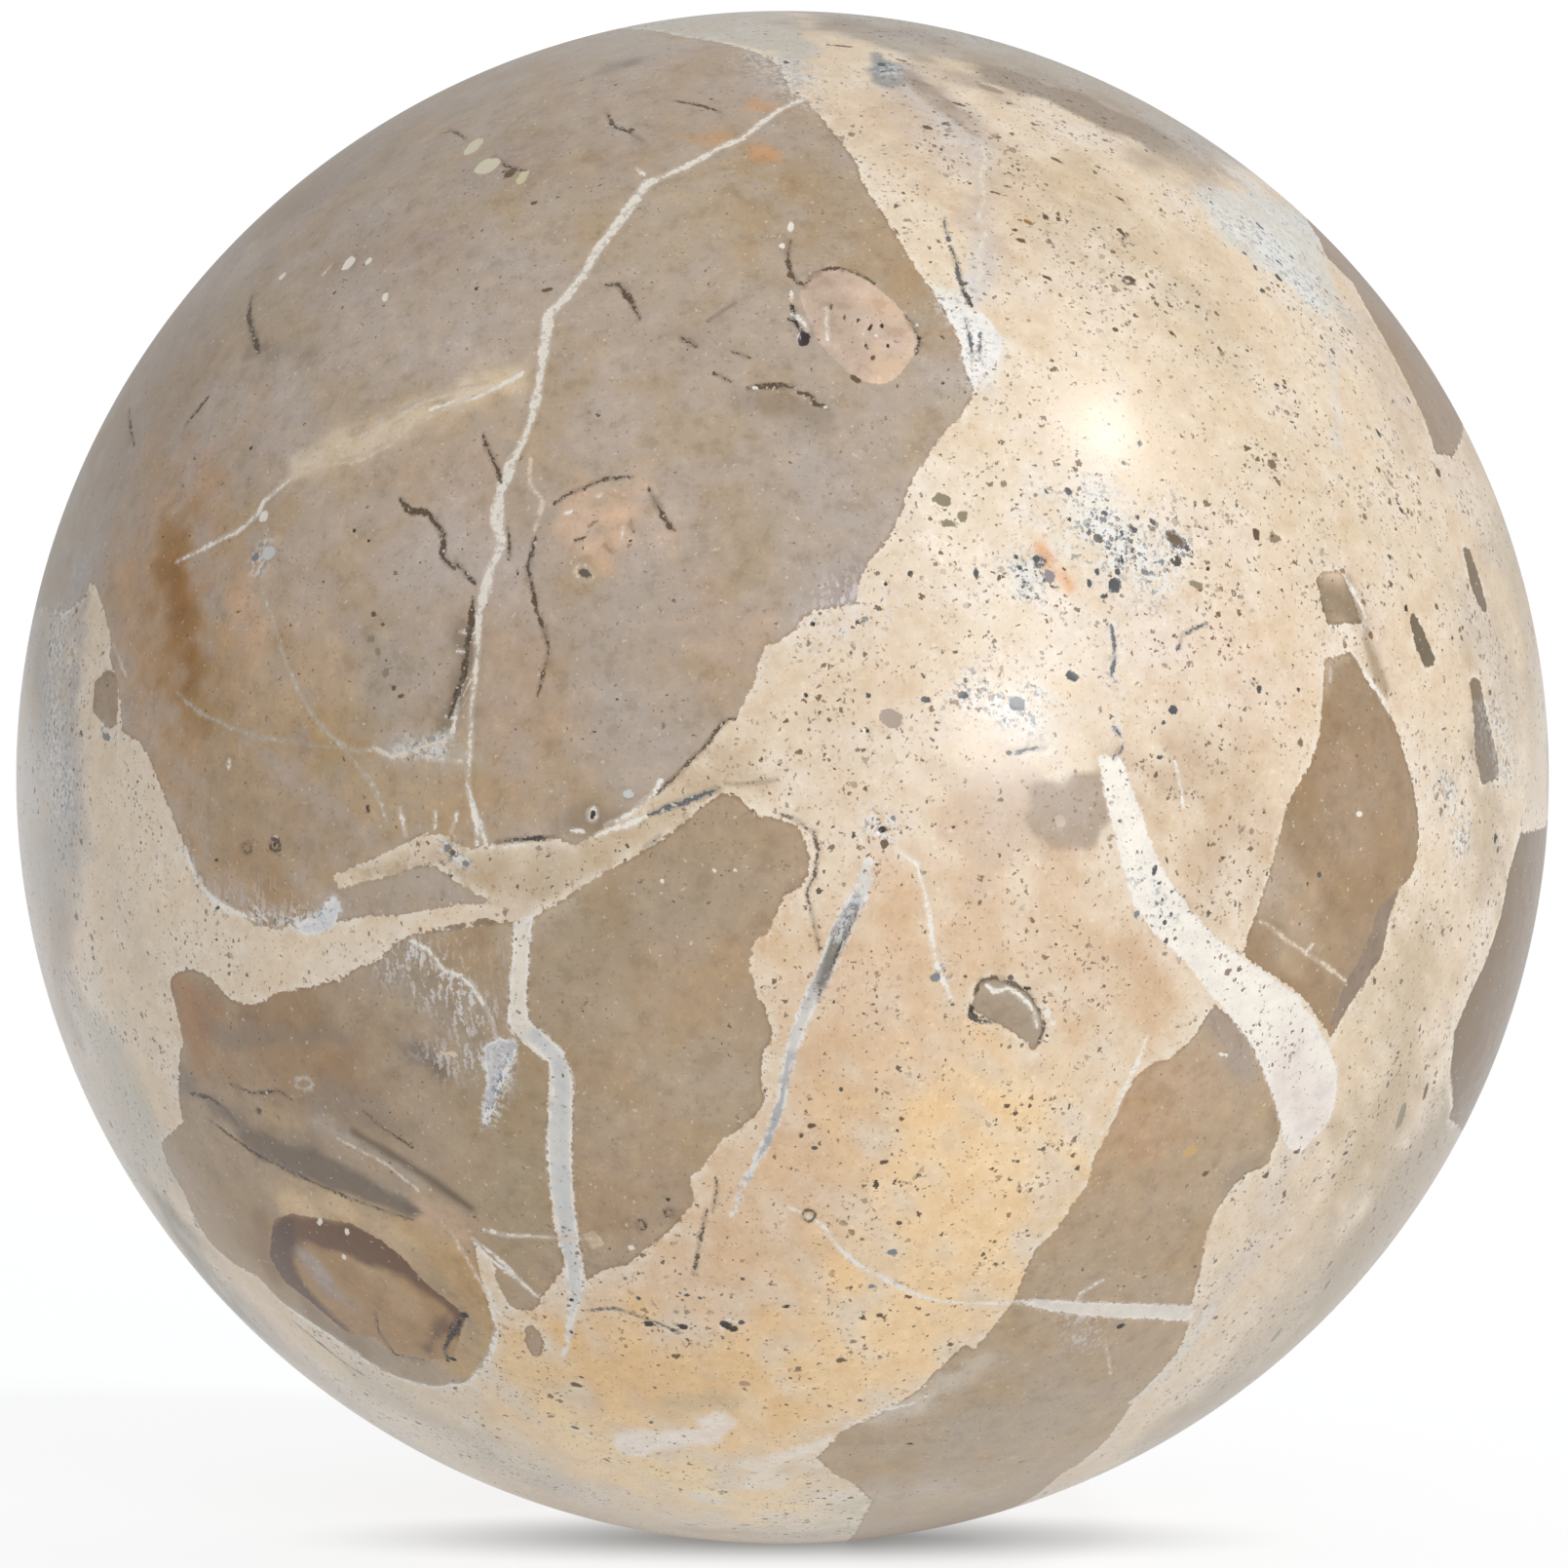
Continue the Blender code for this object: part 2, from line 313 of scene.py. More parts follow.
# Thin veins and cracks: tone, half width, and the path
STROKES = [
    # fringe of the great clast
    (WHITE, 1.5, [481, 812, 485, 825, 488, 840, 490, 855, 489, 868]),
    (WHITE, 1.5, [652, 172, 662, 180]),
    (BLACK, 1.5, [508, 864, 530, 862, 550, 861, 568, 860]),
    (WHITE, 1.2, [503, 869, 520, 869, 545, 866]),
    (BROWN, 1.5, [755, 737, 742, 741, 735, 750, 725, 765, 710, 779, 700, 790, 690, 800, 672, 815]),
    (WHITE, 1.2, [447, 832, 446, 850]),
    (WHITE, 1.2, [470, 833, 462, 855]),
    (WHITE, 1.2, [410, 828, 414, 845, 417, 860]),
    (WHITE, 1.2, [585, 852, 600, 854]),
    # the fork of pale veins on the left
    (WHITE, 1.8, [537, 382, 520, 392, 492, 406, 440, 420]),
    (PALE, 2.0, [440, 420, 400, 457, 370, 472, 330, 478, 310, 485, 297, 492, 285, 502, 272, 513]),
    (PALE, 1.6, [440, 415, 400, 433, 365, 450, 345, 458, 320, 470, 300, 477]),
    (PALE, 1.6, [512, 396, 470, 412, 430, 434, 408, 440, 372, 462, 340, 470, 310, 488, 286, 494]),
    (PALE, 1.3, [490, 398, 462, 404, 424, 416, 388, 446, 352, 466]),
    (0.68, 1.2, [500, 392, 452, 402, 404, 424, 384, 430]),
    (WHITE, 2.0, [297, 492, 285, 502, 272, 513, 262, 530, 245, 545, 230, 552, 205, 565, 180, 577]),
    (0.68, 1.6, [268, 600, 272, 615, 283, 645, 290, 670, 302, 700, 318, 730, 335, 752, 358, 768,
                 372, 772, 385, 768]),
    (0.66, 1.4, [180, 710, 210, 735, 260, 755, 290, 760, 345, 768]),
    (0.68, 1.8, [345, 760, 358, 775, 378, 800, 390, 822, 398, 848]),
    (0.85, 1.8, [385, 768, 405, 778, 425, 770, 445, 764, 465, 755]),
    (0.85, 1.4, [425, 772, 445, 778, 476, 782]),
    (WHITE, 3.0, [235, 778, 235, 789]),
    # cracks of the great clast
    (BROWN, 3.4, [410, 510, 416, 520, 422, 526, 433, 524, 441, 529, 455, 548, 454, 572, 467, 584]),
    (BROWN, 2.2, [467, 576, 477, 588, 488, 600]),
    (BROWN, 3.2, [485, 612, 483, 640, 479, 668, 476, 692, 468, 716, 460, 738]),
    (BROWN, 2.2, [495, 445, 500, 460, 512, 485, 514, 495]),
    (BROWN, 2.2, [549, 550, 545, 570, 541, 582, 546, 605, 551, 625, 562, 660, 563, 670, 551, 715]),
    (BROWN, 2.4, [665, 500, 675, 520, 687, 541, 693, 545]),
    (BROWN, 1.4, [568, 518, 580, 508, 600, 500, 620, 491, 650, 489]),
    (WHITE, 1.0, [578, 527, 588, 524]),
    (WHITE, 1.0, [612, 510, 618, 507]),
    (WHITE, 1.0, [640, 540, 638, 552]),
    (PALE, 1.2, [545, 470, 543, 495, 557, 515, 553, 530, 548, 545]),
    (WHITE, 1.0, [476, 695, 470, 715, 465, 750, 457, 758]),
    (WHITE, 0.9, [470, 648, 486, 650]),
    (WHITE, 0.9, [468, 668, 482, 670]),
    (WHITE, 0.9, [456, 735, 470, 737]),
    (BROWN, 1.4, [521, 540, 523, 555, 522, 575]),
    (BROWN, 2.0, [690, 103, 715, 107, 740, 115]),
    (BROWN, 1.6, [622, 115, 630, 130, 645, 135, 660, 145]),
    (BROWN, 3.0, [620, 292, 635, 292, 645, 305, 657, 328]),
    (BROWN, 3.0, [697, 345, 705, 350, 716, 356]),
    (BROWN, 2.4, [750, 360, 770, 367]),
    (BROWN, 2.0, [732, 382, 750, 392]),
    (BROWN, 3.4, [766, 399, 780, 396, 800, 396, 816, 397]),
    (BROWN, 2.4, [818, 402, 832, 405, 836, 414, 850, 418]),
    (BROWN, 2.2, [811, 245, 808, 262, 812, 282, 820, 292]),
    (BLACK, 2.0, [812, 312, 818, 332, 825, 350]),
    (BROWN, 0.9, [725, 330, 755, 310]),
    (BROWN, 1.2, [824, 296, 832, 284, 846, 276, 862, 275, 880, 280, 898, 291]),
    (BROWN, 1.6, [928, 322, 938, 336, 944, 350, 940, 364]),
    (BROWN, 1.2, [603, 540, 613, 534]),
    (BROWN, 1.2, [620, 558, 627, 566]),
    (BROWN, 1.2, [588, 556, 600, 551]),
    (BROWN, 1.1, [646, 534, 650, 547]),
    (BROWN, 1.4, [455, 136, 466, 134, 478, 143]),
    (BROWN, 1.4, [506, 160, 520, 170, 540, 176]),
    (BROWN, 1.3, [216, 1150, 262, 1184, 310, 1208, 360, 1230, 424, 1252]),
    (BROWN, 1.2, [236, 1112, 258, 1122, 288, 1120, 300, 1130]),
    (PALE, 1.2, [346, 1168, 396, 1194, 430, 1222]),
    (BROWN, 1.4, [196, 1122, 214, 1126, 232, 1138, 246, 1156]),
    (BROWN, 1.0, [372, 1140, 396, 1160, 424, 1178]),
    (PALE, 1.2, [520, 1268, 560, 1270, 600, 1271, 616, 1271]),
    (PALE, 1.6, [462, 1262, 484, 1300, 506, 1340]),
    (BROWN, 4.0, [258, 303, 255, 325, 262, 350, 266, 362]),
    (BROWN, 3.6, [190, 436, 202, 422, 214, 406]),
    (BROWN, 2.8, [132, 420, 134, 440, 138, 458]),
    (WHITE, 1.5, [330, 283, 340, 272]),
    (BLACK, 1.8, [515, 176, 530, 172]),
    (WHITE, 2.0, [812, 322, 820, 325, 826, 332, 829, 340]),
    (BLACK, 1.5, [808, 326, 817, 331, 823, 338]),
    (WHITE, 1.6, [848, 315, 849, 349]),
    # the cream tongue at the left edge
    (PALE, 1.4, [115, 660, 124, 680, 130, 695]),
    (WHITE, 2.0, [190, 870, 200, 900, 215, 920, 240, 935, 262, 945]),
    (WHITE, 1.5, [305, 950, 318, 944, 330, 950]),
    # cracks in the upper ground
    (GREY, 1.6, [969, 222, 970, 232, 974, 248]),
    (0.42, 2.2, [975, 252, 981, 268, 986, 290, 990, 300]),
    (BLACK, 1.5, [988, 297, 992, 305, 997, 315]),
    (GREY, 1.0, [990, 325, 995, 345, 998, 370]),
    (GREY, 0.9, [1007, 340, 1005, 370]),
    (0.84, 1.7, [1008, 150, 1011, 166, 1006, 182, 1010, 200, 1005, 222, 1011, 240, 1003, 262,
                 1007, 280, 1001, 300]),
    (0.9, 1.6, [1049, 113, 1080, 120, 1110, 129, 1152, 146]),
    (0.9, 1.8, [1500, 1020, 1492, 1050, 1487, 1100, 1490, 1138]),
    (BROWN, 1.1, [1158, 240, 1151, 246, 1155, 254]),
    # cracks in the middle ground
    (GREY, 1.5, [1140, 640, 1143, 655, 1144, 668, 1142, 688, 1139, 692]),
    (GREY, 1.9, [1142, 745, 1148, 752, 1151, 757]),
    (GREY, 2.4, [1152, 765, 1148, 772, 1142, 780]),
    (GREY, 1.0, [1042, 773, 1060, 768, 1075, 768]),
    (GREY, 0.8, [1240, 640, 1225, 645, 1213, 652, 1208, 668]),
    (WHITE, 1.2, [1205, 780, 1210, 800, 1215, 830]),
    (BLACK, 1.2, [1048, 572, 1053, 580]),
    (BLACK, 1.2, [1151, 570, 1152, 580]),
    (BLACK, 1.2, [1151, 591, 1156, 596]),
    # right clast
    (WHITE, 1.6, [1380, 590, 1388, 605, 1396, 620, 1402, 635]),
    (WHITE, 1.8, [1385, 665, 1395, 680, 1412, 708, 1428, 735]),
    (WHITE, 1.0, [1366, 685, 1365, 700]),
    (PALE, 1.1, [1292, 945, 1303, 950, 1320, 965, 1340, 978, 1362, 992, 1382, 1008]),
    (WHITE, 1.2, [1340, 978, 1348, 968]),
    # above the middle clast
    (WHITE, 1.4, [680, 800, 672, 812, 655, 828, 645, 836, 620, 848]),
    (GREY, 1.3, [660, 870, 670, 864, 678, 857]),
    (BROWN, 0.9, [742, 803, 760, 805, 800, 800]),
    (GREY, 3.4, [740, 808, 730, 812, 710, 820, 690, 827, 665, 836]),
    (WHITE, 2.6, [665, 836, 650, 845, 630, 850, 610, 858]),
    # beside the spine vein
    (BROWN, 0.9, [800, 835, 820, 843, 835, 855, 840, 875, 835, 900, 828, 915, 833, 940, 841, 978]),
    (BROWN, 1.2, [881, 932, 864, 968, 850, 1000, 838, 1028]),
    (WHITE, 1.8, [918, 870, 940, 885, 950, 920, 957, 965, 962, 995, 978, 1028]),
    (BROWN, 0.9, [735, 1208, 735, 1220, 733, 1235, 731, 1245]),
    (BROWN, 1.1, [725, 1240, 722, 1255, 716, 1285, 714, 1300, 711, 1310]),
    (BLACK, 1.6, [995, 1030, 996, 1042, 1004, 1047, 1018, 1050]),
    (BROWN, 1.4, [1000, 1020, 1006, 1006, 1022, 1003, 1040, 1009, 1058, 1022, 1068, 1040]),
    (WHITE, 1.4, [1012, 1010, 1020, 1018, 1034, 1014, 1050, 1024, 1062, 1038, 1064, 1056]),
    (BROWN, 1.4, [1066, 1072, 1072, 1056, 1070, 1042]),
    # left clast and its fossil
    (WHITE, 1.3, [420, 965, 440, 975, 455, 995, 475, 1003, 490, 1020, 503, 1042, 510, 1068]),
    (PALE, 2.0, [450, 1080, 470, 1083]),
    (WHITE, 1.8, [262, 1308, 290, 1338, 325, 1362, 365, 1390, 405, 1413, 445, 1424, 480, 1420,
                  503, 1392, 510, 1365, 503, 1335]),
    (WHITE, 2.2, [292, 1340, 310, 1352, 350, 1378, 370, 1390]),
    (GREY, 1.5, [300, 1355, 330, 1380, 358, 1402, 375, 1412]),
    (BLACK, 1.6, [465, 1358, 461, 1365]),
    (BROWN, 1.2, [385, 1345, 388, 1365, 405, 1390, 440, 1397]),
    (WHITE, 1.6, [487, 1275, 500, 1290, 530, 1312, 553, 1332]),
    (WHITE, 1.4, [495, 1262, 520, 1268, 545, 1268]),
    (WHITE, 1.4, [500, 1320, 505, 1335, 513, 1350]),
    (WHITE, 1.6, [484, 1270, 510, 1290, 530, 1310, 551, 1331]),
    (BLACK, 2.6, [474, 1348, 470, 1362, 462, 1372, 456, 1384, 460, 1398]),
    (BLACK, 1.0, [377, 826, 377, 834]),
    # low veins
    (WHITE, 1.6, [808, 1238, 832, 1250, 845, 1258, 860, 1280, 880, 1298, 912, 1314, 938, 1328,
                  965, 1336, 1045, 1337]),
    (WHITE, 1.2, [1104, 1336, 1108, 1328, 1125, 1317, 1133, 1313]),
    (WHITE, 1.2, [1178, 1060, 1170, 1085, 1155, 1115, 1145, 1140, 1130, 1165]),
    (WHITE, 1.6, [868, 1464, 900, 1449, 938, 1440]),
    (PALE, 1.4, [1135, 1380, 1140, 1410]),
    (GREY, 0.9, [600, 1345, 630, 1342, 660, 1352, 700, 1368]),
    (WHITE, 1.2, [741, 1369, 740, 1360, 748, 1354, 757, 1357]),
]

# Rings of small shells and stems: tone, x, y, half sizes, turn in degrees
RINGS = [
    (PALE, 600, 588, 11, 7, 35),
    (BROWN, 282, 867, 5, 7, 0),
    (BROWN, 253, 870, 5, 5, 0),
    (BROWN, 657, 1257, 5, 5, 0),
    (BROWN, 686, 1245, 4, 4, 0),
    (BROWN, 830, 1248, 6, 6, 0),
    (BROWN, 1158, 288, 5, 3, 0),
    (WHITE, 608, 836, 4, 6, 0),
    (BROWN, 265, 1140, 2, 2, 0),
    (0.66, 312, 1112, 9, 6, 10),
    (GREY, 1067, 576, 5, 5, 30),
]

# Single grains: colour, x, y, half sizes, turn in degrees
GRAINS = [
    (SOOT, 608, 836, 2.5, 4, 0), ((218, 210, 184), 486, 150, 9, 15, 25),
    ((218, 210, 184), 500, 170, 14, 14, 30), ((214, 204, 170), 536, 182, 6, 12, 20),
    (BROWN_INK, 524, 177, 6, 9, 30), (CHALK, 290, 283, 5, 5, 0), (CHALK, 358, 270, 7, 10, 30),
    (CHALK, 378, 268, 4, 5, 0), (CHALK, 395, 305, 4, 6, 0),
    (CHALK, 812, 232, 3, 7, 10), (CHALK, 803, 252, 3, 4, 0), (UMBER, 811, 282, 3, 4, 0),
    (UMBER, 822, 290, 3, 3, 0), (CHALK, 812, 303, 2, 7, 0), ((70, 58, 62), 825, 347, 6, 9, 10),
    (CHALK, 271, 530, 6, 6, 0), (ICE, 276, 567, 8, 7, 0), (BLUE_GREY, 262, 572, 5, 4, 0),
    (UMBER, 384, 630, 3, 2.5, 0), (UMBER, 392, 641, 3, 2, 0),
    (OLIVE, 380, 655, 5, 4, 0), (OLIVE, 396, 690, 4, 5, 0),
    (UMBER, 404, 706, 2.5, 3, 0), (UMBER, 412, 714, 3, 2, 0), (OLIVE, 388, 668, 3, 5, 0),
    (UMBER, 548, 208, 4, 3, 0), (UMBER, 562, 297, 5, 3, 0), (SOOT, 187, 499, 2, 2, 0),
    (SOOT, 257, 460, 2, 2, 0), (SOOT, 363, 544, 2, 2, 0), (SOOT, 378, 555, 2, 2, 0),
    (ICE, 645, 815, 6, 4, 0), (UMBER, 465, 875, 3, 3, 0), (BLUE_GREY, 458, 870, 3, 4, 0),
    (BLUE_GREY, 478, 886, 4, 3, 0), (CHALK, 775, 398, 3, 2, 0), (SOOT, 833, 379, 1.6, 1.6, 0),
    (CHALK, 847, 417, 2.4, 1.6, 20), (UMBER, 648, 133, 4, 3, 0), (BLUE_GREY, 109, 756, 9, 4, 15),
    # pisolith
    (UMBER, 852, 316, 2, 4, 15), (UMBER, 866, 325, 2, 4, -20), (SOOT, 881, 328, 1.6, 3, 20),
    (SOOT, 893, 336, 2, 4, 25), (SOOT, 905, 334, 1.6, 4, 30), (SOOT, 889, 354, 2, 5, -15),
    (UMBER, 896, 367, 2, 4, 20), (SOOT, 911, 355, 1.6, 3, 0), (UMBER, 874, 349, 2, 3, 10),
    (CHALK, 941, 333, 2, 2, 0), (CHALK, 886, 340, 1.6, 3, 20), (CHALK, 899, 345, 1.6, 2, 0),
    (SOOT, 943, 346, 2, 3, 0), (UMBER, 878, 389, 6, 3, 30),
    # upper ground
    (GREY_INK, 905, 66, 4, 6, 20), (UMBER, 952, 131, 6, 3.5, 20), (UMBER, 984, 107, 6, 2.5, 15),
    (BROWN_INK, 1022, 198, 6, 2, 15), (UMBER, 1084, 164, 7, 2.5, 20), (OCHRE, 1055, 228, 6, 3, 20),
    (UMBER, 1042, 236, 3, 2, 0), (UMBER, 1048, 247, 6, 3, 20), (UMBER, 925, 62, 7, 2.5, 20),
    (UMBER, 862, 47, 13, 3, 5), (BROWN_INK, 1148, 203, 5, 2, 20), (BROWN_INK, 1182, 293, 4, 2, 30),
    (BROWN_INK, 1151, 238, 6, 3, 40), (BROWN_INK, 1144, 338, 3.5, 2.5, 0),
    (BROWN_INK, 1075, 285, 5, 2.5, 10), (BROWN_INK, 1204, 343, 5, 2.5, 20),
    (GREY_INK, 1310, 395, 3, 2, 0), (GREY_INK, 1318, 397, 2.5, 2, 0), (GREY_INK, 1280, 360, 3, 2, 0),
    (GREY_INK, 1293, 232, 5, 2.5, 30), (GREY_INK, 1306, 242, 3, 2, 0), (GREY_INK, 1277, 260, 3, 2, 0),
    (GREY_INK, 1288, 274, 3, 5, 0), (GREY_INK, 1311, 268, 3, 2, 0), (GREY_INK, 1326, 264, 3, 2, 0),
    (GREY_INK, 1312, 285, 5, 4, 20), (GREY_INK, 1305, 291, 2, 2, 0), (UMBER, 1476, 485, 5, 7, 20),
    # middle ground
    (BROWN_INK, 1289, 548, 4.5, 6, 0), (OLIVE, 1227, 600, 8, 4, 10), (GREY_INK, 1292, 708, 4, 4, 20),
    (GREY_INK, 1204, 728, 5, 5, 45), (SOOT, 1327, 682, 2, 2, 0), (SOOT, 1261, 662, 2, 2, 0),
    (SOOT, 1240, 584, 2, 2.5, 0), (SOOT, 1443, 624, 2.5, 4, 0), (SOOT, 1491, 655, 2.5, 4, 0),
    (GREY_INK, 1415, 445, 6, 3, 40), (GREY_INK, 1445, 410, 4, 2.5, 30),
    (GREY_INK, 1143, 600, 6, 6, 45), ((150, 140, 142), 1077, 591, 6, 6.5, 10),
    (GREY_INK, 1064, 573, 4, 4, 20), (GREY_INK, 1096, 504, 4.5, 3.5, 30),
    (GREY_INK, 1074, 504, 4, 2, 40), (OLIVE, 1063, 508, 2.5, 3, 0), (OLIVE, 1030, 496, 3, 4, 0),
    (OLIVE, 967, 513, 9, 7, 20), (OLIVE, 973, 537, 8, 4, 0), (OLIVE, 988, 530, 5, 6, 0),
    (GREY_INK, 1002, 588, 3, 6, 0), (GREY_INK, 1153, 475, 4, 2.5, 0), (GREY_INK, 1170, 455, 2.5, 4, 0),
    (GREY_INK, 1183, 535, 4, 3, 30), (GREY_INK, 1126, 587, 2.5, 4.5, 0), (GREY_INK, 1164, 544, 4, 3, 0),
    (GREY_INK, 1135, 527, 4, 3, 45), (GREY_INK, 1149, 540, 3, 1.6, 20), (GREY_INK, 1151, 548, 2, 3, 0),
    (GREY_INK, 1147, 587, 3, 4, 0), (GREY_INK, 1168, 531, 2.5, 3, 0), (BLUE_GREY, 1132, 533, 3.5, 3, 0),
    (UMBER, 1206, 554, 8, 5, 20), (GREY_INK, 1092, 584, 2, 2, 0), (GREY_INK, 1118, 598, 3, 4, 0),
    (BLUE_GREY, 1176, 588, 6, 3, 20), (GREY_INK, 1133, 612, 3.5, 2, -20), (SOOT, 1049, 602, 2.5, 1.5, 0),
    (GREY_INK, 1047, 583, 3, 3, 0), (SOOT, 1054, 585, 1.6, 1.6, 0), (GREY_INK, 1042, 571, 2.5, 2.5, 0),
    (GREY_INK, 1101, 694, 7, 4.5, 20), (GREY_INK, 988, 713, 5, 4, 0), ((176, 160, 146), 914, 737, 12, 9, 20),
    (BLUE_GREY, 1044, 722, 9, 7, 0), (GREY_INK, 950, 718, 5, 3, 0), (GREY_INK, 890, 713, 3, 3, 0),
    (SOOT, 890, 750, 2.5, 2.5, 0), (SOOT, 827, 713, 2.5, 2.5, 0), (SOOT, 834, 640, 2.5, 3, 0),
    (SOOT, 909, 599, 2.5, 2.5, 0), (GREY_INK, 1190, 777, 4, 2.5, 0), (GREY_INK, 1194, 742, 2.5, 2.5, 0),
    (GREY_INK, 1036, 773, 4.5, 2.5, 0), ((204, 194, 196), 877, 607, 3.5, 8, 10),
    ((108, 98, 90), 600, 588, 7.5, 4, 35), ((202, 184, 168), 1088, 842, 6, 6, 0),
    # right clast
    (CHALK, 1395, 835, 4, 3, 0), (SOOT, 1342, 907, 2, 2.5, 0), (GREY_INK, 1354, 898, 3, 3, 0),
    (CORAL, 1326, 947, 3, 3, 0), (OLIVE, 1438, 1145, 7, 16, 15), (UMBER, 1463, 1120, 4, 11, 10),
    (GREY_INK, 1381, 1183, 4, 2.5, 0), ((70, 84, 84), 1535, 860, 4, 6, 0), (GREY_INK, 1532, 847, 2, 2.5, 0),
    (UMBER, 1318, 1225, 3, 4.5, 0), (OLIVE, 1310, 1370, 5, 13, 30), (UMBER, 1362, 1318, 3, 8, 30),
    # right vein
    (GREY_INK, 1185, 893, 2.5, 6, 15), (GREY_INK, 1190, 906, 2, 2.5, 0), (GREY_INK, 1193, 925, 2, 2.5, 0),
    (GREY_INK, 1195, 947, 2.5, 2.5, 0), (GREY_INK, 1203, 915, 2.5, 2, 0), (GREY_INK, 1202, 938, 2, 3, 0),
    (BLUE_GREY, 1167, 938, 4, 3.5, 0),
    # middle clast
    (CHALK, 648, 1280, 3, 3, 0), (SOOT, 685, 1231, 2, 2, 0), (SOOT, 643, 1252, 1.6, 1.6, 0),
    (CHALK, 650, 917, 2.5, 2, 0), (CHALK, 680, 905, 2, 2, 0), (CHALK, 733, 893, 2, 2, 0),
    (CHALK, 755, 893, 2, 2, 0), (SOOT, 586, 1335, 2.5, 3, 0), (SOOT, 586, 1368, 2, 3, 0),
    # spine vein
    (SOOT, 905, 852, 4, 3.5, 0), (UMBER, 908, 866, 4, 5, 0), (BLUE_GREY, 917, 840, 3, 3, 0),
    (SOOT, 978, 849, 2.5, 2.5, 0), (BLUE_GREY, 960, 1003, 5, 5, 0),
    # half moon
    (SOOT, 997, 1037, 2, 5, 0), (CHALK, 1075, 1040, 4, 5, 0), (CHALK, 1080, 1050, 3, 3, 0),
    (SOOT, 1075, 1063, 2, 2, 0), (SOOT, 1055, 1015, 4, 2, 20),
    # left clast and fossil
    (SOOT, 222, 882, 2, 2, 0), (UMBER, 286, 1147, 2.5, 2.5, 0), (SOOT, 477, 1350, 4.5, 4.5, 0),
    (SOOT, 460, 1380, 2.5, 2.5, 0), (SOOT, 465, 1395, 4, 3, 0), (CHALK, 353, 1290, 3, 4, 0),
    (CHALK, 328, 1253, 3, 6, 20), (CHALK, 356, 1264, 3, 5, 0),
    (SOOT, 282, 867, 2, 3, 0),
    # lower clast
    ((205, 170, 115), 1221, 1181, 8, 6, 0), (CHALK, 1255, 1082, 5, 2, 20), (SOOT, 1150, 1361, 4.5, 3, 0),
    (SOOT, 933, 1482, 4.5, 2, 0), (UMBER, 1048, 1500, 4, 2.5, 0), (CHALK, 949, 1422, 2, 2, 0),
    (CHALK, 950, 1433, 2, 2, 0), (UMBER, 1237, 1204, 4, 3, 0), (UMBER, 1226, 1300, 2, 2, 0),
    (UMBER, 1230, 1320, 2, 2, 0),
    # lower ground
    (GREY_INK, 655, 1332, 3, 2.5, 0), (GREY_INK, 762, 1312, 2.5, 2.5, 0), (GREY_INK, 705, 1329, 2.5, 2, 0),
    (GREY_INK, 718, 1332, 2.5, 2, 0), (GREY_INK, 593, 1422, 6, 2.5, 0), (GREY_INK, 596, 1413, 2.5, 2, 0),
    (GREY_INK, 672, 1424, 2.5, 2, 0), (GREY_INK, 668, 1460, 2.5, 4, 0), (GREY_INK, 590, 1465, 5, 2.5, 0),
    (SOOT, 808, 1341, 5, 2.5, 0), (BROWN_INK, 903, 1350, 4, 3, 0), (GREY_INK, 867, 1396, 3, 2.5, 0),
    (BROWN_INK, 923, 1255, 3, 2.5, 0), (BLUE_GREY, 915, 1285, 6, 4, 10), (BLUE_GREY, 895, 1320, 4, 3, 0),
    (BROWN_INK, 907, 1193, 4, 3, 0), (BROWN_INK, 925, 1148, 3, 2.5, 0), (GREY_INK, 863, 1118, 2.5, 2.5, 0),
    (BROWN_INK, 833, 1155, 4, 3, 0), (BROWN_INK, 822, 1165, 3, 2.5, 0), (GREY_INK, 836, 1178, 3, 2.5, 0),
    (BROWN_INK, 1033, 1135, 4, 3, 0), (BROWN_INK, 1042, 1142, 3, 3, 0), (BLUE_GREY, 710, 1565, 6, 3, 0),
    (BLUE_GREY, 765, 1565, 6, 3, 0), (SOOT, 744, 1360, 6, 5, 20),
    (SOOT, 753, 1364, 5, 4, 150), (GREY_INK, 761, 1357, 3, 3, 0), (BROWN_INK, 592, 1421, 7, 4, 0),
    ((186, 150, 128), 764, 1420, 6, 4, 0), (SOOT, 666, 1359, 5, 4, 0), (SOOT, 700, 1362, 6, 4, 0),
    (GREY_INK, 690, 1365, 3, 3, 0), (UMBER, 862, 1396, 4, 4, 0), ((172, 150, 126), 1016, 91, 15, 7, 12),
]

